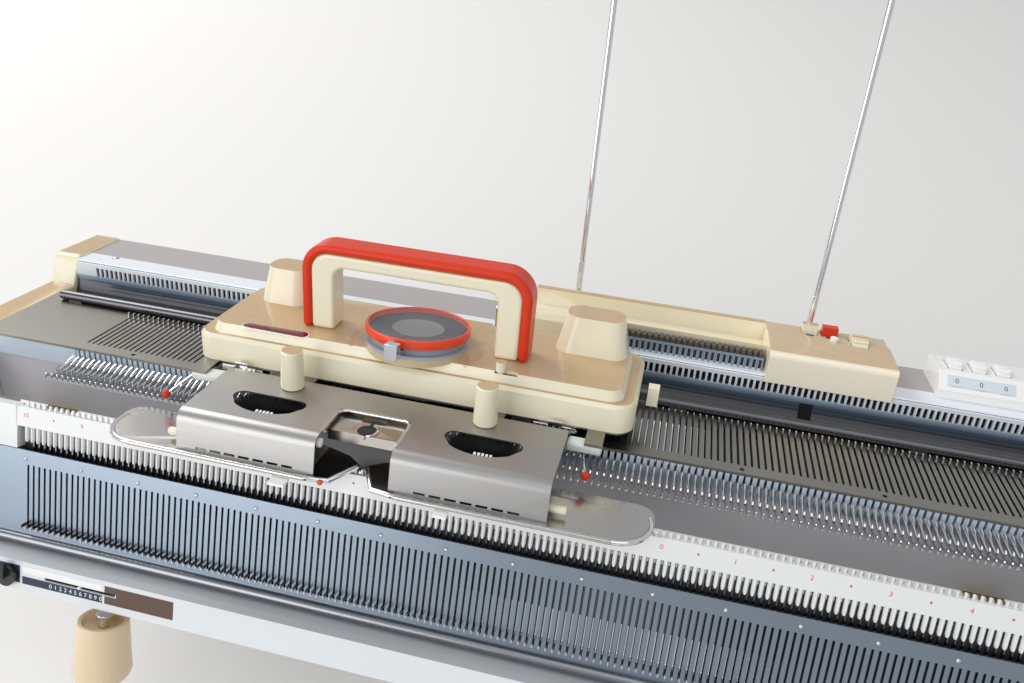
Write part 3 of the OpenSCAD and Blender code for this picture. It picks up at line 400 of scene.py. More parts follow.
def swept(path, section, side=(1, 0, 0)):
    """A closed section carried along a path: point = path + x * side + y * (side x run),
    where run is the path's direction. section is one outline or one for each step."""
    path = np.asarray(path, float)
    run = np.gradient(path, axis=0)
    run /= np.linalg.norm(run, axis=1)[:, None]
    side = np.broadcast_to(np.asarray(side, float), path.shape)
    up = np.cross(side, run)
    section = np.broadcast_to(np.asarray(section, float),
                              (len(path), *np.shape(section)[-2:]))
    return (path[:, None] + section[..., :1] * side[:, None]
            + section[..., 1:] * up[:, None]).reshape(-1, 3)


def needle(path, wire, shank, first_shank):
    """Part of a latch needle: an oval carried along a path of (y, z) points. The steps before
    first_shank have the wire's half sizes, and the others the flat shank's."""
    section = [outline(*(wire if i < first_shank else shank), 4) for i in range(len(path))]
    return swept([(0, y, z) for y, z in path], section), skin(len(path), 4)


def joined(*pieces):
    """Several pieces of points and faces as one: each one's face numbers go up by the number
    of points before it."""
    points, faces, start = [], [], 0
    for part_points, part_faces in pieces:
        points.append(np.asarray(part_points, float))
        faces += [(np.asarray(face) + start).tolist() for face in part_faces]
        start += len(part_points)
    return np.concatenate(points), faces


def beside(xs):
    """Places along the bed at the given X."""
    xs = np.asarray(xs, float)
    return np.stack([xs, 0 * xs, 0 * xs], -1)


HOOK_WIRE, SHANK, LATCH_WIRE, LATCH_SPOON = (0.62, 0.6), (0.62, 1.5), (0.3, 0.4), (0.7, 0.5)
main_hook = needle([(35.4, 22.4), (34.2, 23.4), (32.4, 23.5), (31.2, 22.4), (31.4, 21), (33, 20.5),
                    (40, 20.6), (60, 20.8), (116.6, 20.8), (118, 22), (118, 33)],
                   HOOK_WIRE, SHANK, 7)
main_latch = needle([(41.5, 21.6), (44, 22.6), (48, 23.7), (50.5, 24)], LATCH_WIRE, LATCH_SPOON, 2)
needle_steel = Look("needle_steel", (0.78, 0.78, 0.80), 0.18, metal=1.0)
made("latch_needles", *copies(*joined(main_hook, main_latch), beside(needle_x)), needle_steel,
     "machine", "needle_steel", replaces=["main_needles"])

# Rail and rear channel
# The carriage runs on a round bar of polished steel. Behind it stands a channel rolled from
# sheet and enamelled, with a punched rack whose slots turn the carriage's drums. Its colour is
# a painted shade, dark at the foot, that rises to a painted highlight nearly white at the top.
rail_steel = Look("rail_steel", (0.13, 0.13, 0.14), 0.24, metal=1.0)
paint("carriage_rail", rail_steel)
# Painted light: the channel's colour runs with height from painted shade to a painted highlight.
SHADE_Z, SHADE_RISE = 27.0, 18.0
rack_paint = painted("rack_enamel", (0.34, 0.43, 0.52), 0.3)
rise = (rack_paint.axes()[2] - SHADE_Z) * (1 / SHADE_RISE)
ramp = rack_paint.node("ShaderNodeValToRGB", {"stops": [
    (0.0, (0.012, 0.016, 0.024)), (0.30, (0.06, 0.09, 0.13)), (0.55, (0.30, 0.38, 0.46)),
    (0.62, (0.66, 0.74, 0.80)), (1.0, (0.78, 0.84, 0.87))]}, {"Fac": rise})
rack_paint.set(Base_Color=ramp.outputs[0])
paint("rear_channel", rack_paint)

# The opening's dark hollow is painted shade: a thin black strip bent round the channel's curve,
# whose axis runs along the bed: y = axis y + radius * cos(turn) and z = axis z + radius * sin(turn).
AXIS_Y, AXIS_Z, OPENING_X0, OPENING_X1, OPENING_R0, OPENING_R1 = 145, 35, 89.5, 99.5, 19.85, 19.95
arc_turn = np.radians(np.linspace(-6, -50, 8))
opening = np.stack([
    np.c_[0 * arc_turn + x, AXIS_Y + r * np.cos(arc_turn), AXIS_Z + r * np.sin(arc_turn)]
    for x, r in ((OPENING_X0, OPENING_R0), (OPENING_X1, OPENING_R0),
                 (OPENING_X1, OPENING_R1), (OPENING_X0, OPENING_R1))], 1)
hollow_black = Look("hollow_black", (0.004, 0.004, 0.005), 0.9)
made("channel_opening_shade", opening, skin(8, 4), hollow_black, "machine", "reader_grey", smooth=False)

# Front comb and gate pegs
# The comb in front of the slots is enamelled steel: upright bars between the needles on a sill,
# with a block at each end. From under each bar a peg of bent and flattened steel reaches
# forward and curves up, and holds the loops back when the needles move.
COMB_Y, COMB_T, COMB_Z0, COMB_Z1 = 57.0, 4.0, 11.4, 26.0
comb_mid = COMB_Y + COMB_T / 2
SILL_X, SILL_Z, END_X, END_Z = 450.0, 15.4, 82.0, 18.7
bar = swept([(0, comb_mid, COMB_Z0), (0, comb_mid, COMB_Z1)],
            np.array([(1.4, -2), (1.4, 2), (-1.4, 2), (-1.4, -2)]))
sill = swept([(-SILL_X, comb_mid, SILL_Z), (SILL_X, comb_mid, SILL_Z)],
             np.array([(2, -4), (2, 4), (-2, 4), (-2, -4)]), (0, 1, 0))
ends = [swept([(side * SILL_X, comb_mid, END_Z), (side * (SILL_X + END_X), comb_mid, END_Z)],
              np.array([(2, -7.3), (2, 7.3), (-2, 7.3), (-2, -7.3)]), (0, 1, 0))
        for side in (-1, 1)]
comb_paint = painted("comb_enamel", (0.50, 0.58, 0.66), 0.3)
made("front_comb", *joined(copies(bar, skin(2, 4), beside(gap_x)), (sill, skin(2, 4)),
                           *((end, skin(2, 4)) for end in ends)),
     comb_paint, "machine", "needle_steel", smooth=False)
peg_path = [(0, 57.5, 15.6), (0, 46, 15.2), (0, 34, 15.2), (0, 28.5, 16.8), (0, 25.4, 19.6),
            (0, 24.4, 21.4), (0, 24.3, 22.2)]
peg_half = [(0.55, 2.8), (0.6, 2.4), (0.7, 2.3), (0.8, 2.3), (0.9, 1.9), (0.8, 1.2), (0.3, 0.4)]
peg = swept(peg_path, [outline(*half, 6) for half in peg_half])
made("pegs", *copies(peg, skin(len(peg_path), 6), beside(gap_x)), needle_steel,
     "machine", "needle_steel", replaces=["gate_pegs"])

# Yarn masts
# Two rods of chromed steel, each held in a socket on the case's rear wall. The thicker lower
# half takes the upper rod.
chrome = Look("chrome", (0.82, 0.82, 0.84), 0.08, metal=1.0)
softened("yarn_masts", chrome, 0.3)

# Card unit
# Two cream mouldings on the rear cover: an open trough that the punched card leaves through, and
# a housing for its works. Their top faces are painted tan as painted shade, standing in for the
# dim light and brown reflection that fall on them.
TRAY_TOP = 70.0
tray_cream = moulded("tray_cream", (0.87, 0.79, 0.58))
# Painted shade: the trough's top face is tinted tan.
tray_top_shade = tray_cream.axes()[2] > TRAY_TOP - 0.8
tray_cream.set(Base_Color=tray_cream.tint(tray_top_shade * 0.9, (0.56, 0.38, 0.20)))
softened("card_tray", tray_cream, 0.8)
# Painted shade: the housing's upward faces are tinted tan.
housing_cream = moulded("housing_cream", (0.97, 0.89, 0.72), top_shade=(0.58, 0.41, 0.23))
softened("card_housing", housing_cream, 0.8)

# Selector plates
# Twenty-four stamped plates in a row read the card, one for each needle of the repeat. Each is
# blue-grey with a window and a brownish head above it, and a dark bar behind them keeps them
# in line. A pale strip at each plate's foot is a painted highlight on its rounded tip.


def slab(x0, x1, y0, y1, z0, z1):
    """A plain block between two corners: the rectangle in X and Y at z0 and again at z1."""
    corners = np.array([(x0, y0), (x1, y0), (x1, y1), (x0, y1)], float)
    points = np.concatenate([np.c_[corners, np.full(4, z)] for z in (z0, z1)])
    return points, skin(2, 4)


REPEAT, FIRST_X = 24, 56.0
PLATE_Y, PLATE_T, PLATE_Z0, PLATE_Z1 = 174.3, 0.9, 50.2, 60.0
PLATE_HALF, WINDOW_HALF, WINDOW_Z0, WINDOW_Z1 = 2.15, 1.1, 51.4, 58.3
selector_x = beside(FIRST_X - np.arange(REPEAT) * PITCH)
plate_back = PLATE_Y + PLATE_T
window_frame = joined(slab(-PLATE_HALF, -WINDOW_HALF, PLATE_Y, plate_back, PLATE_Z0, PLATE_Z1),
                      slab(WINDOW_HALF, PLATE_HALF, PLATE_Y, plate_back, PLATE_Z0, PLATE_Z1),
                      slab(-WINDOW_HALF, WINDOW_HALF, PLATE_Y, plate_back, WINDOW_Z1, PLATE_Z1),
                      slab(-WINDOW_HALF, WINDOW_HALF, PLATE_Y, plate_back, PLATE_Z0, WINDOW_Z0))
plate_blue = moulded("plate_blue", (0.26, 0.33, 0.40), 0.35)
made("selector_faces", *copies(*window_frame, selector_x), plate_blue, "machine", "reader_grey",
     smooth=False, replaces=["selector_plates"])
HEAD_HALF, HEAD_Y0, HEAD_Y1, HEAD_Z0, HEAD_Z1 = 1.4, 176.5, 184.5, 59.5, 62.9
head = slab(-HEAD_HALF, HEAD_HALF, HEAD_Y0, HEAD_Y1, HEAD_Z0, HEAD_Z1)
head_brown = Look("head_brown", (0.11, 0.085, 0.065), 0.5)
made("selector_heads", *copies(*head, selector_x), head_brown, "machine", "reader_grey",
     smooth=False)
# Painted highlight: a pale block at each plate's foot stands for the light on its rounded tip.
TIP_HALF, TIP_Y0, TIP_TOP = 1.2, 174.05, 51.3
tip_block = slab(-TIP_HALF, TIP_HALF, TIP_Y0, PLATE_Y, PLATE_Z0, TIP_TOP)
tip_highlight = Look("tip_highlight", (0.62, 0.72, 0.82), 0.3)
made("selector_tips", *copies(*tip_block, selector_x), tip_highlight, "machine", "reader_grey",
     smooth=False)
BAR_X0, BAR_X1, BAR_Y0, BAR_Y1, BAR_TOP = -49, 57.5, 176, 188.6, 59.6
made("selector_bar", *slab(BAR_X0, BAR_X1, BAR_Y0, BAR_Y1, PLATE_Z0, BAR_TOP), dark, "machine",
     "reader_grey", smooth=False)

# Card levers, button and wheel
# Two moulded tabs rock on one shaft in slots of the housing: the cream one stops the card and
# the red one locks it. Beside them are a white push button and the wheel that feeds the card.
# Painted shadow: thin dark strips on the housing's top stand for the shade inside the two levers' slots.
HOUSING_TOP, SHADOW_T, SLOT_HALF, SLOT_FRONT, SLOT_BACK = 70.06, 0.08, 3, 208.6, 213.9
slot_shadows = [slab(x - SLOT_HALF, x + SLOT_HALF, SLOT_FRONT, SLOT_BACK, HOUSING_TOP,
                     HOUSING_TOP + SHADOW_T) for x in (93.5, 109.0)]
made("lever_slot_shadows", *joined(*slot_shadows), dark, "machine", "reader_grey", smooth=False)
red = moulded("orange_red_plastic", (0.70, 0.046, 0.014), 0.3, 0.0)
red.surface.inputs["Specular IOR Level"].default_value = 0.22
white = moulded("white_plastic", (0.90, 0.90, 0.88))
softened("card_stop_lever", cream, 0.6)
softened("card_lock_lever", red, 0.6)
softened("card_button", white, 0.4)
softened("feed_wheel", cream, 0.3)

# Row counter
# A white moulded case fixed on the rear cover, over three thumb wheels for hundreds, tens and
# units. A pale strip closes the windows in its slope, and the plain zeros printed on it stand
# for the wheels' figures.
softened("counter_case", white, 0.8)
for place in ("hundreds", "tens", "units"):
    softened("counter_wheel_" + place, white, 0.3)


def lettered(name, text, height, at, look, body, matrix):
    """A plain number printed on a face: centred at a place, height millimetres tall. A font's
    own size is 1.4 times its figures' height."""
    curve = bpy.data.curves.new(name, "FONT")
    curve.body, curve.size, curve.align_x, curve.align_y = text, height * 1.4, "CENTER", "CENTER"
    curve.extrude = 0.02
    holder = bpy.data.objects.new(name + "_curve", curve)
    scene.collection.objects.link(holder)
    bpy.context.view_layer.update()
    mesh = bpy.data.meshes.new_from_object(holder.evaluated_get(
        bpy.context.evaluated_depsgraph_get()))
    bpy.data.objects.remove(holder)
    mesh.transform(matrix @ Matrix.Translation(at))
    piece = bpy.data.objects.new(name, mesh)
    scene.collection.objects.link(piece)
    dress(piece, look)
    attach(piece, body)
    return piece


# The slope's frame lies on its middle line and rises 11 in 12.
SLOPE = BED @ Matrix.Translation((0, 185.0, 62.5)) @ Matrix.Rotation(np.arctan2(11, 12), 4, "X")
strip_blue = moulded("window_strip", (0.66, 0.72, 0.79), 0.15)
STRIP_X0, STRIP_X1, STRIP_LOW, STRIP_HIGH, STRIP_BACK, STRIP_FRONT = 192, 239, -4.2, 4.4, 0.1, 0.45
made("counter_window", *slab(STRIP_X0, STRIP_X1, STRIP_LOW, STRIP_HIGH, STRIP_BACK, STRIP_FRONT),
     strip_blue, "machine", "white_plastic", SLOPE, smooth=False)
FIRST_WHEEL_X, WHEEL_STEP, FIGURE_HIGH = 198.5, 17, 3.8
figure_ink = Look("figure_ink", (0.03, 0.035, 0.05), 0.5)
for place in range(3):
    lettered(f"counter_figure_{place}", "0", FIGURE_HIGH,
             (FIRST_WHEEL_X + WHEEL_STEP * place, 0.1, STRIP_FRONT + 0.01),
             figure_ink, "machine", SLOPE)

# Carriage
# A pressed steel plate carries the cams and runs on white nylon blocks in front. The two toothed
# drums under it follow the timing rack. A cream moulded cover is screwed over it, with a
# bow-shaped handle whose red grip snaps over a cream frame.
CARRIAGE_X = -190.0
CARRIAGE = BED @ Matrix.Translation((CARRIAGE_X, 0, 0))
softened("carriage_plate", satin, 0.2)
runner_white = moulded("runner_white", (0.76, 0.80, 0.75))
softened("front_runners", runner_white, 2.2, 3)
cam_steel = brushed("cam_steel", (0.35, 0.36, 0.38), 0.35)
paint("carriage_cams", cam_steel)
reader_grey = moulded("reader_grey", (0.10, 0.12, 0.15), 0.4)
softened("left_drum", reader_grey, 0.2)
softened("right_drum", reader_grey, 0.2)
softened("carriage_cover", cream, 1.2, 3)
softened("handle_frame", cream, 2.5, 4)
softened("handle_grip", red, 3.0, 4)

# Stitch dial
# A red moulded ring that turns on the cover's post and leans back with it. It stands on a grey
# skirt and holds a clear lens over a dark face with a ribbed pale disc. A chromed lever under
# it, painted dark in the middle, sets the cams.
DIAL_Y, DIAL_R, INSIDE_R = 87.0, 37.5, 34.5
DIAL = (CARRIAGE @ Matrix.Translation((0, DIAL_Y, 69.47))
        @ Matrix.Rotation(np.radians(-5), 4, "X"))
lever_chrome = Look("lever_chrome", (0.82, 0.82, 0.84), 0.1, metal=1.0)
dial_x, dial_y = lever_chrome.axes(DIAL)[:2]
inside = (dial_x * dial_x + dial_y * dial_y).root() < INSIDE_R
lever_chrome.set(Base_Color=lever_chrome.tint(inside, (0.30, 0.36, 0.40)),
                 Metallic=1.0 - inside, Roughness=inside * 0.3 + 0.1)
softened("cam_lever", lever_chrome, 0.6)
rim = [(5.1, 5.0), (36.0, 5.0), (36.7, 5.4), (36.75, 6.5), (37.3, 6.6), (DIAL_R, 6.9),
       (DIAL_R, 11.0), (37.3, 11.5), (36.8, 11.9), (36.2, 12.0), (35.6, 11.9), (35.2, 11.5),
       (35.2, 8.0), (5.1, 8.0), (5.1, 5.0)]
dial_red = moulded("dial_red", (0.84, 0.065, 0.018), 0.25, 0.1)
made("dial_ring", turned(rim, 96)[0], skin(len(rim), 96, capped=False), dial_red, "stitch_dial",
     "red_plastic", DIAL, replaces=["stitch_dial"])

# The skirt's lower edge at (x, y) is where the leaning dial meets the panel:
# z = (y * sin(lean) - lift) / cos(lean), and a little deeper. Its foot is painted tan as a painted
# reflection of the cover's tan top.
SKIRT_R, LEAN, LIFT, SKIRT_SIDES, TAN_Z = 36.7, np.radians(5), 3.77, 72, -2.2
skirt_turn = np.arange(SKIRT_SIDES) * 2 * np.pi / SKIRT_SIDES
rim_x, rim_y = SKIRT_R * np.cos(skirt_turn), SKIRT_R * np.sin(skirt_turn)
skirt_foot = (-LIFT + rim_y * np.sin(LEAN)) / np.cos(LEAN)
skirt = np.stack([np.c_[rim_x, rim_y, skirt_foot - 0.3], np.c_[rim_x, rim_y, 0 * rim_x],
                  np.c_[rim_x * 0.985, rim_y * 0.985, 0 * rim_x + 0.06],
                  np.c_[rim_x * 0.9, rim_y * 0.9, 0 * rim_x + 0.06]])
skirt_grey = moulded("skirt_grey", (0.36, 0.42, 0.46), 0.3)
# Painted reflection: below TAN_Z the skirt is tinted tan.
skirt_grey.set(Base_Color=skirt_grey.tint(skirt_grey.axes(DIAL)[2] < TAN_Z, (0.60, 0.46, 0.28)))
made("dial_skirt", skirt, skin(4, SKIRT_SIDES, capped=False), skirt_grey, "carriage",
     "reader_grey", DIAL)

# Inside the ring, from below: the face, the disc on it and the lens over both.
FACE_R, FACE_Z0, FACE_Z1 = 34.9, 8.02, 8.2
face_profile = [(0.01, FACE_Z0), (FACE_R, FACE_Z0), (FACE_R, FACE_Z1), (0.01, FACE_Z1)]
dial_face = Look("dial_face", (0.022, 0.026, 0.034), 0.45)
dial_face.set(Base_Color=dial_face.tint(dial_face.noise(14) * 0.6, (0.05, 0.055, 0.065)))
made("dial_face", *turned(face_profile, 64), dial_face, "stitch_dial", "red_plastic", DIAL,
     smooth=False)
lens_profile = [(0.01, 10.2), (34.4, 10.2), (35.0, 10.4), (35.0, 11.3), (34.6, 11.8),
                (33.5, 12.1), (28, 12.25), (0.01, 12.3)]
lens = Look("dial_lens", (0.55, 0.58, 0.62), 0.05)
lens.set(Alpha=0.12)
made("clear_lens", *turned(lens_profile, 96), lens, "stitch_dial", "lens_clear", DIAL,
     replaces=["dial_lens"])
DISC_R, DISC_TOP, RIB_STEP, RIB_GAP = 18.5, 8.5, 1.9, 0.8
disc_profile = [(0.01, FACE_Z1), (DISC_R, FACE_Z1), (DISC_R, DISC_TOP), (0.01, DISC_TOP)]
ribbed = Look("ribbed_disc", (0.34, 0.35, 0.36), 0.35)
# Painted shade: dark lines between the ribs stand for the shade in the grooves of a disc that is flat.
between_ribs = ribbed.axes(DIAL)[1] % RIB_STEP < RIB_GAP
ribbed.set(Base_Color=ribbed.tint(between_ribs, (0.12, 0.12, 0.13)))
made("ribbed_disc", *turned(disc_profile, 48), ribbed, "stitch_dial", "red_plastic", DIAL,
     smooth=False)

# Printed marks of the cover
# A maroon window in a white rim is let into the cover left of the dial, and fine red ticks are
# printed on the panel on both sides of it.

# The window and its rim are low discs whose left and right halves are moved apart.
PANEL_Z = 65.7
WINDOW_X, WINDOW_Y, WINDOW_STRETCH = -101, 69.4, 20.5
maroon = moulded("maroon_window", (0.16, 0.01, 0.02), 0.12)
for name, width, rise, look in (("window_rim", 5.2, 0.25, white),
                                ("oblong_window", 4.4, 0.45, maroon)):
    oval = turned([(0.01, 0), (width, 0), (width, rise - 0.1), (width - 0.2, rise), (0.01, rise)])[0]
    oval[:, 0] += np.sign(oval[:, 0] + 1e-6) * WINDOW_STRETCH
    made(name, oval + (WINDOW_X, WINDOW_Y, PANEL_Z), skin(5, 24), look, "carriage",
         "red_plastic", CARRIAGE)

# Each tick is the first one turned about the dial: x' = x * sin(a) + y * cos(a) and
# y' = y * sin(a) - x * cos(a).
print_red = Look("print_red", (0.66, 0.10, 0.05), 0.5)
tick_turn = np.radians(np.r_[np.arange(176, 209, 5), np.arange(332, 365, 5)])
tick_points, tick_faces = slab(-0.35, 0.35, DIAL_R + 8, DIAL_R + 11, 0, 0.05)
tick_x, tick_y, tick_z = tick_points.T
ticks = [np.c_[tick_x * np.sin(a) + tick_y * np.cos(a), -tick_x * np.cos(a) + tick_y * np.sin(a),
               tick_z] + (0, DIAL_Y, PANEL_Z) for a in tick_turn]
made("dial_ticks", *joined(*((points, tick_faces) for points in ticks)), print_red, "carriage",
     "red_plastic", CARRIAGE, smooth=False)

# Small levers and screws of the carriage
# Cream mouldings that are pressed or turned by hand: a button on the cover, two thumb screws
# that hold the sinker plate and a side lever on a black hub. The yarn pin and the two release
# levers are chromed steel.
softened("cover_button", cream, 0.5)
softened("yarn_pin", chrome, 0.2)
softened("left_thumb_screw", cream, 1.2, 3)
softened("right_thumb_screw", cream, 1.2, 3)
softened("left_release_lever", chrome, 0.3)
softened("right_release_lever", chrome, 0.3)
SIDE_WALL_X, HUB_REACH = 160.5, 5.6
lever_cream = moulded("lever_cream", (0.87, 0.81, 0.61))
hub = lever_cream.axes()[0] < CARRIAGE_X + SIDE_WALL_X + HUB_REACH
lever_cream.set(Base_Color=lever_cream.tint(hub, (0.03, 0.03, 0.03)))
softened("side_lever", lever_cream, 0.8)

# Sinker plate
# Hoods folded from brushed sheet, screwed under the carriage's front, with polished steel wings
# below them. The wings' front edges and the cut-out's edge are rolled round and chromed.
MOUTH_X = -6.5
SINKER = CARRIAGE @ Matrix.Translation((MOUTH_X, 0, 0))
aluminium = brushed("brushed_aluminium", (0.44, 0.43, 0.42), 0.40)
softened("sinker_cover", aluminium, 0.3)
HEEL_X = 29
wing_steel = brushed("wing_steel", (0.60, 0.58, 0.56), 0.24)
# Painted shade: the wings' inner parts at the mouth are painted dark, standing in for the shade and dark
# reflection under the carriage.
shaded_heels = abs(wing_steel.axes(SINKER)[0]) < HEEL_X
wing_steel.set(Base_Color=wing_steel.tint(shaded_heels, (0.10, 0.09, 0.09), (0.55, 0.53, 0.51, 1)))
softened("sinker_wings", wing_steel, 0.4)

# Each rolled edge runs from the inner heel along the front and round the tip, whose half circle
# is x = reach - tip back + tip radius * cos(bend) and y = tip radius * sin(bend) - 1, mirrored
# on the left.
EDGE_Z, EDGE_R, TIP_R, TIP_BACK = 13.75, 1.75, 22.3, 24
bend = np.linspace(-np.pi / 2, 0.35, 12)
for name, reach in (("left", -178.0), ("right", 190.0)):
    tip_x = abs(reach) - TIP_BACK + TIP_R * np.cos(bend)
    path = np.c_[np.r_[3.4, 14.5, 30, tip_x] * np.sign(reach),
                 np.r_[-0.5, -21.0, -23.3, -1 + TIP_R * np.sin(bend)], np.full(15, EDGE_Z)]
    made(name + "_rolled_edge", swept(path, outline(EDGE_R, EDGE_R, 12), (0, 0, 1)), skin(15, 12),
         chrome, "carriage", "chrome", SINKER)

# The cut-out's rim runs back, across and forward again, round two corners of one radius.
CUT_HALF, CUT_BACK, CUT_FRONT, CUT_R, CUT_Z = 25.0, 24.0, -6.0, 7.0, 39.5
corner = np.linspace(0, np.pi / 2, 6)
left_corner = np.c_[-CUT_HALF + CUT_R - CUT_R * np.cos(corner),
                    CUT_BACK - CUT_R + CUT_R * np.sin(corner)]
right_corner = np.c_[CUT_HALF - CUT_R + CUT_R * np.sin(corner),
                     CUT_BACK - CUT_R + CUT_R * np.cos(corner)]
rim_path = np.r_[[(-CUT_HALF, CUT_FRONT)], left_corner, right_corner, [(CUT_HALF, CUT_FRONT)]]
made("cutout_rim", swept(np.c_[rim_path, np.full(len(rim_path), CUT_Z)],
                         outline(1.1, 1.1, 10), (0, 0, 1)), skin(len(rim_path), 10), chrome,
     "carriage", "chrome", SINKER)

# Yarn feeder
# A stamped steel plate in the mouth of the sinker plate, with a T-shaped slot and a drop-shaped
# eye for the yarn. The eye's edge is curled and polished. The dark inside of the slot, the eye and
# a notch below it is painted shade: black patches just above the plate and a black cone in the eye.
feeder_steel = brushed("feeder_steel", (0.64, 0.60, 0.54), 0.22, size=1.0, depth=0.001)
softened("yarn_feeder", feeder_steel, 0.4)
FEEDER_Z0, FEEDER_Z1, DROP_SIDES = 36.14, 36.24, 32

# The drop is an oval whose front is drawn to the right:
# x = -0.6 + 6.2 * cos(turn) + 2.4 * max(0, -sin(turn)) cubed and y = 8.8 + 6.8 * sin(turn).
drop_turn = np.linspace(0, 2 * np.pi, DROP_SIDES, endpoint=False)
drop = np.c_[-0.6 + 6.2 * np.cos(drop_turn) + 2.4 * np.maximum(0, -np.sin(drop_turn)) ** 3,
             8.8 + 6.8 * np.sin(drop_turn), np.full(DROP_SIDES, FEEDER_Z0)]
drop_piece = np.concatenate([drop, drop + (0, 0, 0.1)]), skin(2, DROP_SIDES)
# Painted shade: flat black patches for the T-slot, its stem, the notch and the drop-shaped eye.
opening_shadows = joined(slab(-8, 8, 18.6, 20.6, FEEDER_Z0, FEEDER_Z1),
                  slab(-1.1, 1.1, 14.5, 19, FEEDER_Z0, FEEDER_Z1),
                  slab(1.3, 2.1, -1.5, 3, FEEDER_Z0, FEEDER_Z1), drop_piece)
# One black serves the brushes' real nylon and the painted shade of the feeder's openings.
black_bristle_and_shade = Look("bristle_and_painted_shade", (0.012, 0.012, 0.012), 0.7)
made("feeder_opening_shadows", *opening_shadows, black_bristle_and_shade, "carriage", "reader_grey", SINKER, smooth=False)
curl_turn = np.linspace(1.2, -1.35, 12)
curl = np.c_[0.4 + 6.2 * np.cos(curl_turn), 8.4 + 7.0 * np.sin(curl_turn), np.full(12, 36.8)]
made("feeder_curl", swept(curl, outline(0.9, 0.9, 8), (0, 0, 1)), skin(12, 8), chrome,
     "carriage", "chrome", SINKER)
# Painted shade: a black cone inside the eye stands for its dark inside.
eye_shade_profile = [(1.45, 26.1), (5.45, 36.15), (5.3, 36.15), (1.3, 26.1)]
made("eye_shade_cone", *turned(eye_shade_profile), black_bristle_and_shade, "carriage", "reader_grey",
     SINKER @ Matrix.Translation((0, 10, 0)))

# Brush wheels
# Moulded hubs with short black nylon bristles that lean outwards. They turn under the hoods'
# crescent windows, where a few pale bristle tufts show in the middle.
softened("left_brush_wheel", black_bristle_and_shade, 0.4)
softened("right_brush_wheel", black_bristle_and_shade, 0.4)

# Each bristle is a thin three-sided spike. At a random turn and reach its foot lies at 0.8 of
# the reach on the hub, and its tip at the full reach and a random height.
BRUSH_Y, BRUSH_Z, BRUSH_R, HUB_TOP = 11.0, 25.1, 26.5, 5.5
rng = np.random.default_rng(4)
strands = 5000
turn, reach = rng.uniform(0, 2 * np.pi, strands), np.sqrt(rng.uniform(0.02, 1, strands)) * BRUSH_R
foot = np.stack([0.8 * reach * np.cos(turn), 0.8 * reach * np.sin(turn), 0 * turn + HUB_TOP], -1)
tip = np.stack([reach * np.cos(turn), reach * np.sin(turn),
                rng.uniform(10.0, 13.2, strands)], -1)
across = 0.5 * np.stack([-np.sin(turn), np.cos(turn), 0 * turn], -1)
along = 0.5 * np.stack([np.cos(turn), np.sin(turn), 0 * turn], -1)
bristles = np.stack([foot - across, foot + across, foot + along, tip], 1).reshape(-1, 3)
strand_faces = (np.arange(strands)[:, None, None] * 4
                + np.array([(0, 1, 3), (1, 2, 3), (2, 0, 3), (0, 2, 1)])).reshape(-1, 3).tolist()
for side, body in ((-79.5, "left_brush_wheel"), (69.0, "right_brush_wheel")):
    made(body + "_bristles", bristles + (side, BRUSH_Y, BRUSH_Z), strand_faces, black_bristle_and_shade, body,
         "brush_black", CARRIAGE, smooth=False)
TUFT_STEP = 2.6
tuft = swept([(0, 2.2, 38.5), (0, 4.6, 38.9)], outline(0.9, 0.3, 6))
for side, hood_x in (("left", -68.0), ("right", 80.5)):
    tuft_x = hood_x - 2 + np.arange(-2, 3) * TUFT_STEP
    made(side + "_tufts", *copies(tuft, skin(2, 6), beside(tuft_x)), white, "carriage",
         "brush_black", SINKER)

# Pins, cap, bead and tongues of the sinker plate
# Cream moulded pins of the weaving brushes stand out of the hoods' outer ends. A white cap sits
# in the mouth and a red bead at the left wing's heel, and white nylon tongues peep out under
# the wings' front edges.
pin_profile = [(0.01, 0), (2.3, 0), (2.6, 6), (2.9, 12), (2.2, 13.4), (0.01, 13.6)]
pin = turned(pin_profile, 16)
for side, x, direction in (("left", -118.0, -1), ("right", 123.0, 1)):
    place = SINKER @ Matrix.Translation((x, -10.5, 20)) @ Matrix.Rotation(
        direction * np.pi / 2, 4, "Y")
    made(side + "_weaving_pin", *pin, cream, "carriage", "cream_plastic", place)
ALONG_X = Matrix.Rotation(np.pi / 2, 4, "Y")
cap_profile = [(0.01, 0), (3.2, 0), (3.2, 2.2), (2.6, 2.6), (0.01, 2.6)]
made("mouth_cap", *turned(cap_profile, 8), white, "carriage", "white_plastic",
     SINKER @ Matrix.Translation((-26, -9.5, 33)) @ ALONG_X)


def bead(radius, pole, half_turn, steps, sides):
    """A bead turned about Z: the arc radius * (cos(a), sin(a)) from -half_turn to half_turn,
    closed at the heights -pole and pole."""
    arc = np.linspace(-half_turn, half_turn, steps)
    return turned(np.r_[[(0.01, -pole)], np.c_[radius * np.cos(arc), radius * np.sin(arc)],
                        [(0.01, pole)]], sides)


made("heel_bead", *bead(1.9, 1.8, 1.2, 7, 12), print_red, "carriage", "red_plastic",
     SINKER @ Matrix.Translation((-18.5, -24.4, 13.8)) @ ALONG_X)
made("nylon_tongues", *joined(slab(-50.5, -39.5, -32, -24, 9.6, 11.6),
                              slab(57, 66, -30, -24, 9.6, 11.6)),
     white, "carriage", "white_plastic", SINKER, smooth=False)

# Wire arms
# Bent chromed wires at both ends of the carriage's front, each with a red plastic ball pressed
# on its tip.
WIRE_R, BALL_R = 0.8, 3
for name, x, lean in (("left", -156, -6), ("right", 131, 5)):
    wire = [(x, 46, 30), (x + lean * 0.4, 34, 28), (x + lean, 23, 25)]
    made(name + "_wire_arm", swept(wire, outline(WIRE_R, WIRE_R, 8)), skin(3, 8), chrome,
         "carriage", "chrome", CARRIAGE)
    ball = bead(BALL_R, BALL_R, 1.3, 9, 16)
    made(name + "_red_ball", ball[0] + wire[-1], ball[1], red, "carriage", "red_plastic", CARRIAGE)

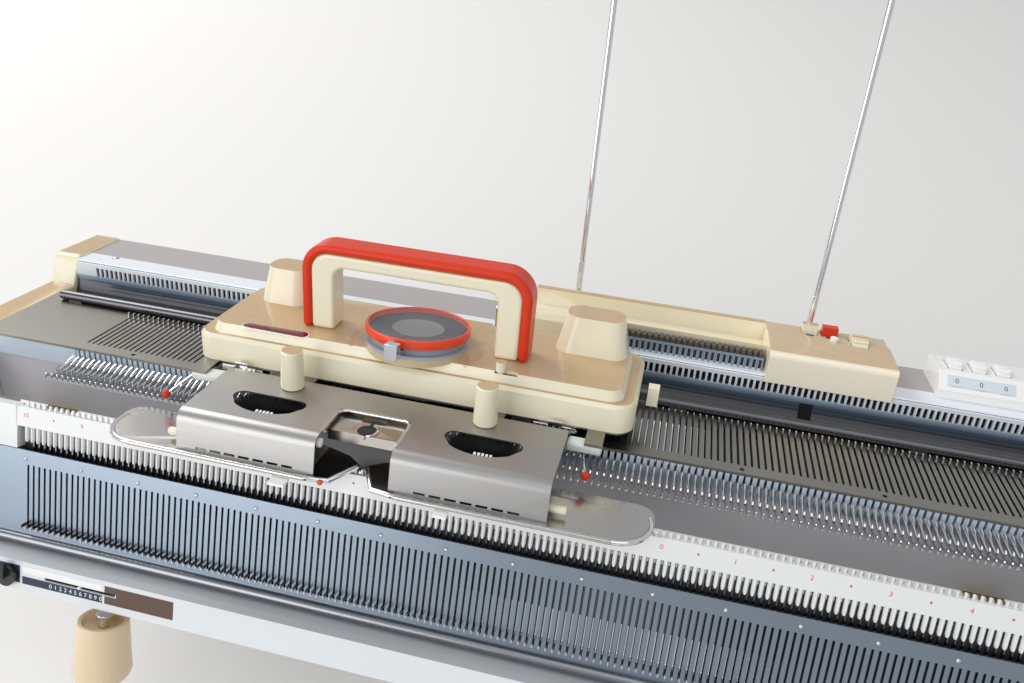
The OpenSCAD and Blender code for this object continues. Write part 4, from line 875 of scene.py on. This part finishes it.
# Rib bed
# A second bed that hangs in front, turned down from the needle bed. Its base is a channel
# folded from sheet and enamelled white, and its slotted plate of bluish satin steel is held on
# a black channel block by a row of domed screws.
RIB_ANGLE = np.radians(77)
RIB = BED @ Matrix.Rotation(RIB_ANGLE, 4, "X")
rail_white = painted("white_enamel", (0.74, 0.77, 0.79), 0.3)
softened("rib_base", rail_white, 1.0, 3)
rib_satin = brushed("rib_satin", (0.31, 0.37, 0.44), 0.32)
paint("rib_plate", rib_satin)
paint("rib_channel", dark)
TEN = 10 * PITCH
PLATE_SCREW_Y, PLATE_SCREW_R, PLATE_SCREW_RISE = -32.5, 1.6, 1.0
plate_screw_places = beside(np.arange(-11, 12) * TEN) + (0, PLATE_SCREW_Y, 0)
made("plate_screws", *copies(*dome(PLATE_SCREW_R, PLATE_SCREW_RISE), plate_screw_places),
     screw_steel, "rib_bed", "plate_steel", RIB)

# Rib comb
# A white moulded strip along the bed's top edge with a block at each end. Every gap between two
# needles has a rounded finger with a small knob on it, and a short peg above the strip.
COMB_X, COMB_END, FINGER_TOP, FINGER_FOOT, COMB_TOP = 458.0, 502.0, -8.5, -20.5, 6.0
strip = [slab(-COMB_X, COMB_X, FINGER_TOP, COMB_TOP, -4, 0)]
strip += [slab(*sorted((side * (COMB_X - 1), side * COMB_END)), -25.7, COMB_TOP, -7.6, 0)
          for side in (-1, 1)]
peg_row = slab(-0.65, 0.65, COMB_TOP - 1, 9.5, -3, -1.8)
comb_white = moulded("comb_white", (0.80, 0.81, 0.80))
made("comb_strip", *joined(*strip, copies(*peg_row, beside(gap_x))), comb_white, "rib_bed",
     "white_plastic", RIB, smooth=False, replaces=["rib_comb"])
finger_path = [(0, FINGER_TOP + 0.5, -2), (0, FINGER_TOP - 2, -1.9), (0, FINGER_FOOT + 2.4, -1.9),
               (0, FINGER_FOOT + 0.9, -2), (0, FINGER_FOOT + 0.1, -2.2)]
finger_half = [(1.5, 2.0), (1.6, 2.0), (1.45, 2.0), (1.1, 1.7), (0.4, 0.8)]
finger = swept(finger_path, [outline(*half, 8) for half in finger_half])
knob_places = [(x, FINGER_TOP - 0.6, -0.9) for x in gap_x]
made("comb_fingers", *joined(copies(finger, skin(5, 8), beside(gap_x)),
                             copies(*dome(1.15, 1.0, 8), knob_places)),
     comb_white, "rib_bed", "white_plastic", RIB)

# Needle scale
# Plain numbers printed in red on the comb's strip at every tenth needle, counted from the
# middle, with a dot half way between them.
for ten in range(-10, 11):
    lettered(f"scale_{ten + 10:02d}", str(abs(ten)), 3.4, (ten * TEN, 0, 0.02), print_red,
             "rib_bed", RIB)
DOT_R, DOT_T = 0.8, 0.04
dot_places = beside((np.arange(-10, 10) + 0.5) * TEN)
dot = turned([(0.01, 0), (DOT_R, 0), (DOT_R, DOT_T), (0.01, DOT_T)], 10)
made("scale_dots", *copies(*dot, dot_places), print_red, "rib_bed", "red_plastic", RIB)

# Rib needles and front rail
# Latch needles like the main bed's lie in the rib plate's slots with their hooks up. Under the
# plate they are painted dark as painted shadow, and their butts are painted dark below the tips as
# painted shade. A half-round steel bar is screwed along the plate's lower edge.
SHADOW_Y0, SHADOW_Y1, BUTT_Z0, BUTT_Z1 = -60, -13, 0.2, 6.3
rib_hook = needle([(4.4, -4.6), (5.6, -3.9), (7.0, -4.2), (7.6, -5.4), (6.4, -6.5), (3, -6.8),
                   (-5, -6.5), (-20, -6.1), (-80, -6.1), (-82, -4.6), (-82, 8)],
                  HOOK_WIRE, SHANK, 6)
rib_latch = needle([(-5, -5.6), (-8, -4.6), (-12, -4.2), (-14, -4.4)], LATCH_WIRE, LATCH_SPOON, 2)
rib_steel = Look("rib_needle_steel", (0.78, 0.78, 0.80), 0.2, metal=1.0)
rib_y, rib_z = rib_steel.axes(RIB)[1:]
# Painted shade: the butts are darkened between BUTT_Z0 and BUTT_Z1, leaving their tips bright.
butt_shade = rib_steel.tint((rib_z > BUTT_Z0) * (rib_z < BUTT_Z1), (0.10, 0.09, 0.09))
in_shadow = (rib_y < SHADOW_Y1) * (rib_y > SHADOW_Y0)
rib_steel.set(Base_Color=rib_steel.tint(in_shadow, (0.16, 0.16, 0.17), butt_shade))
made("rib_latch_needles", *copies(*joined(rib_hook, rib_latch), beside(needle_x)), rib_steel,
     "rib_bed", "needle_steel", RIB, replaces=["rib_needles"])
half_round = Look("half_round_steel", (0.26, 0.28, 0.30), 0.3, metal=1.0)
paint("rib_front_rail", half_round)

# Plates on the rib bed's face
# Thin printed plates stuck on the base's face: a white one over a dark blue one with plain
# numbers round the pointer's slot, a brown bare one beside them and a dark one behind the
# half-pitch lever.
FACE_Z, PLATE_RISE, PLATE_LOW, SLOT_LOW, SLOT_HIGH, PLATE_HIGH = 18.5, 0.25, -118.5, -112.8, -109.8, -105
INDICATOR_X0, INDICATOR_X1, BROWN_X0, SLOT_END, BROWN_X1 = -436, -372, -370, -361.0, -317
plate_top = FACE_Z + PLATE_RISE
made("indicator_top", *slab(INDICATOR_X0, INDICATOR_X1, SLOT_HIGH, PLATE_HIGH, FACE_Z, plate_top),
     white, "machine", "white_plastic", RIB, smooth=False)
plate_navy = Look("plate_navy", (0.010, 0.020, 0.060), 0.4)
made("indicator_low", *slab(INDICATOR_X0, INDICATOR_X1, PLATE_LOW, SLOT_LOW, FACE_Z, plate_top),
     plate_navy, "machine", "reader_grey", RIB, smooth=False)
plate_brown = Look("plate_brown", (0.10, 0.055, 0.035), 0.4)
made("brown_plate", *joined(slab(BROWN_X0, SLOT_END, PLATE_LOW, SLOT_LOW, FACE_Z, plate_top),
                            slab(BROWN_X0, SLOT_END, SLOT_HIGH, PLATE_HIGH, FACE_Z, plate_top),
                            slab(SLOT_END, BROWN_X1, PLATE_LOW, PLATE_HIGH, FACE_Z, plate_top)),
     plate_brown, "machine", "reader_grey", RIB, smooth=False)
made("lever_plate", *slab(-458, -438, PLATE_LOW, PLATE_HIGH, FACE_Z, FACE_Z + 0.15), plate_navy,
     "machine", "reader_grey", RIB, smooth=False)
FIRST_PITCH_X, PITCH_STEP = -413, 4.0
for place in range(11):
    lettered(f"pitch_{place:02d}", str(place % 10), 3.2,
             (FIRST_PITCH_X + place * PITCH_STEP, -115.8, FACE_Z + 0.26),
             white, "machine", RIB)

# Racking gear and brackets
# A white pointer rides on the plate, and a black moulded lever shifts the bed by half a pitch. A
# chromed crank with a moulded cream knob racks the bed sideways. Enamelled end plates hang the
# base from the needle bed.
softened("rack_pointer", white, 0.2)
black = moulded("black_plastic", (0.02, 0.02, 0.022))
softened("half_pitch_lever", black, 0.6)
softened("racking_crank", chrome, 0.4)
# Painted shade: the knob's upward faces are tinted tan, standing in for dim light and brown reflection
# on top.
knob_cream = moulded("knob_cream", (0.78, 0.62, 0.41), top_shade=(0.62, 0.44, 0.24))
softened("racking_knob", knob_cream, 1.0, 3)
softened("rib_brackets", enamel, 0.3)

# Floor
# A plain pale floor below the machine, which takes its shadow.
FLOOR_DROP, FLOOR_SIZE = 0.16, 14
floor_look = Look("floor", (0.80, 0.79, 0.77), 0.9)
bpy.ops.mesh.primitive_plane_add(size=FLOOR_SIZE, location=(0, 0, -FLOOR_DROP))
floor = bpy.context.object
floor.name = "floor"
dress(floor, floor_look)

# Light
# An even pale surround and three soft square lamps: a window at the back left, the ceiling and
# a fill from the front.
world = bpy.data.worlds.new("studio")
scene.world = world
world.use_nodes = True
world.node_tree.nodes["Background"].inputs["Color"].default_value = (0.95, 0.97, 1.0, 1)
world.node_tree.nodes["Background"].inputs["Strength"].default_value = 0.55


def lamp(name, place, aim, size, power, colour=(1, 1, 1)):
    """A square soft lamp of size metres and power watts at place, in metres, that faces aim."""
    light = bpy.data.lights.new(name, "AREA")
    light.size, light.energy, light.color = size, power, colour
    holder = bpy.data.objects.new(name, light)
    scene.collection.objects.link(holder)
    holder.location = place
    holder.rotation_euler = (Vector(aim) - Vector(place)).to_track_quat("-Z", "Y").to_euler()


MACHINE = (0, 0, 0.05)
lamp("window_left", (-2.2, 1.4, 1.9), MACHINE, 1.6, 45, (1.0, 0.98, 0.95))
lamp("ceiling_soft", (0.6, -1.0, 2.6), MACHINE, 2.2, 12)
lamp("front_soft", (-1.6, -2.2, 1.2), MACHINE, 2.0, 33)

# Camera
# It stands where the photograph was taken from. Its place and directions are in the bed frame,
# and the camera's axes are right, up and backwards.
CAMERA_PLACE = (-24.8, -424.0, 322.0)
LOOKS_ALONG = Vector((-0.16869738, 0.89083503, -0.42184611))
PICTURE_UP = Vector((-0.16557215, 0.39628726, 0.90307379))
LENS_MM, FILM_MM = 29.0, 36.0
camera = bpy.data.cameras.new("camera")
camera.lens, camera.sensor_width, camera.clip_start = LENS_MM, FILM_MM, 0.02
holder = bpy.data.objects.new("camera", camera)
scene.collection.objects.link(holder)
bed_turn = BED.to_3x3().normalized()
right = LOOKS_ALONG.cross(PICTURE_UP)
axes = Matrix((bed_turn @ right, bed_turn @ PICTURE_UP, bed_turn @ -LOOKS_ALONG)).transposed()
holder.matrix_world = Matrix.Translation(BED @ Vector(CAMERA_PLACE)) @ axes.to_4x4()
scene.camera = holder

scene.view_settings.view_transform = "Standard"
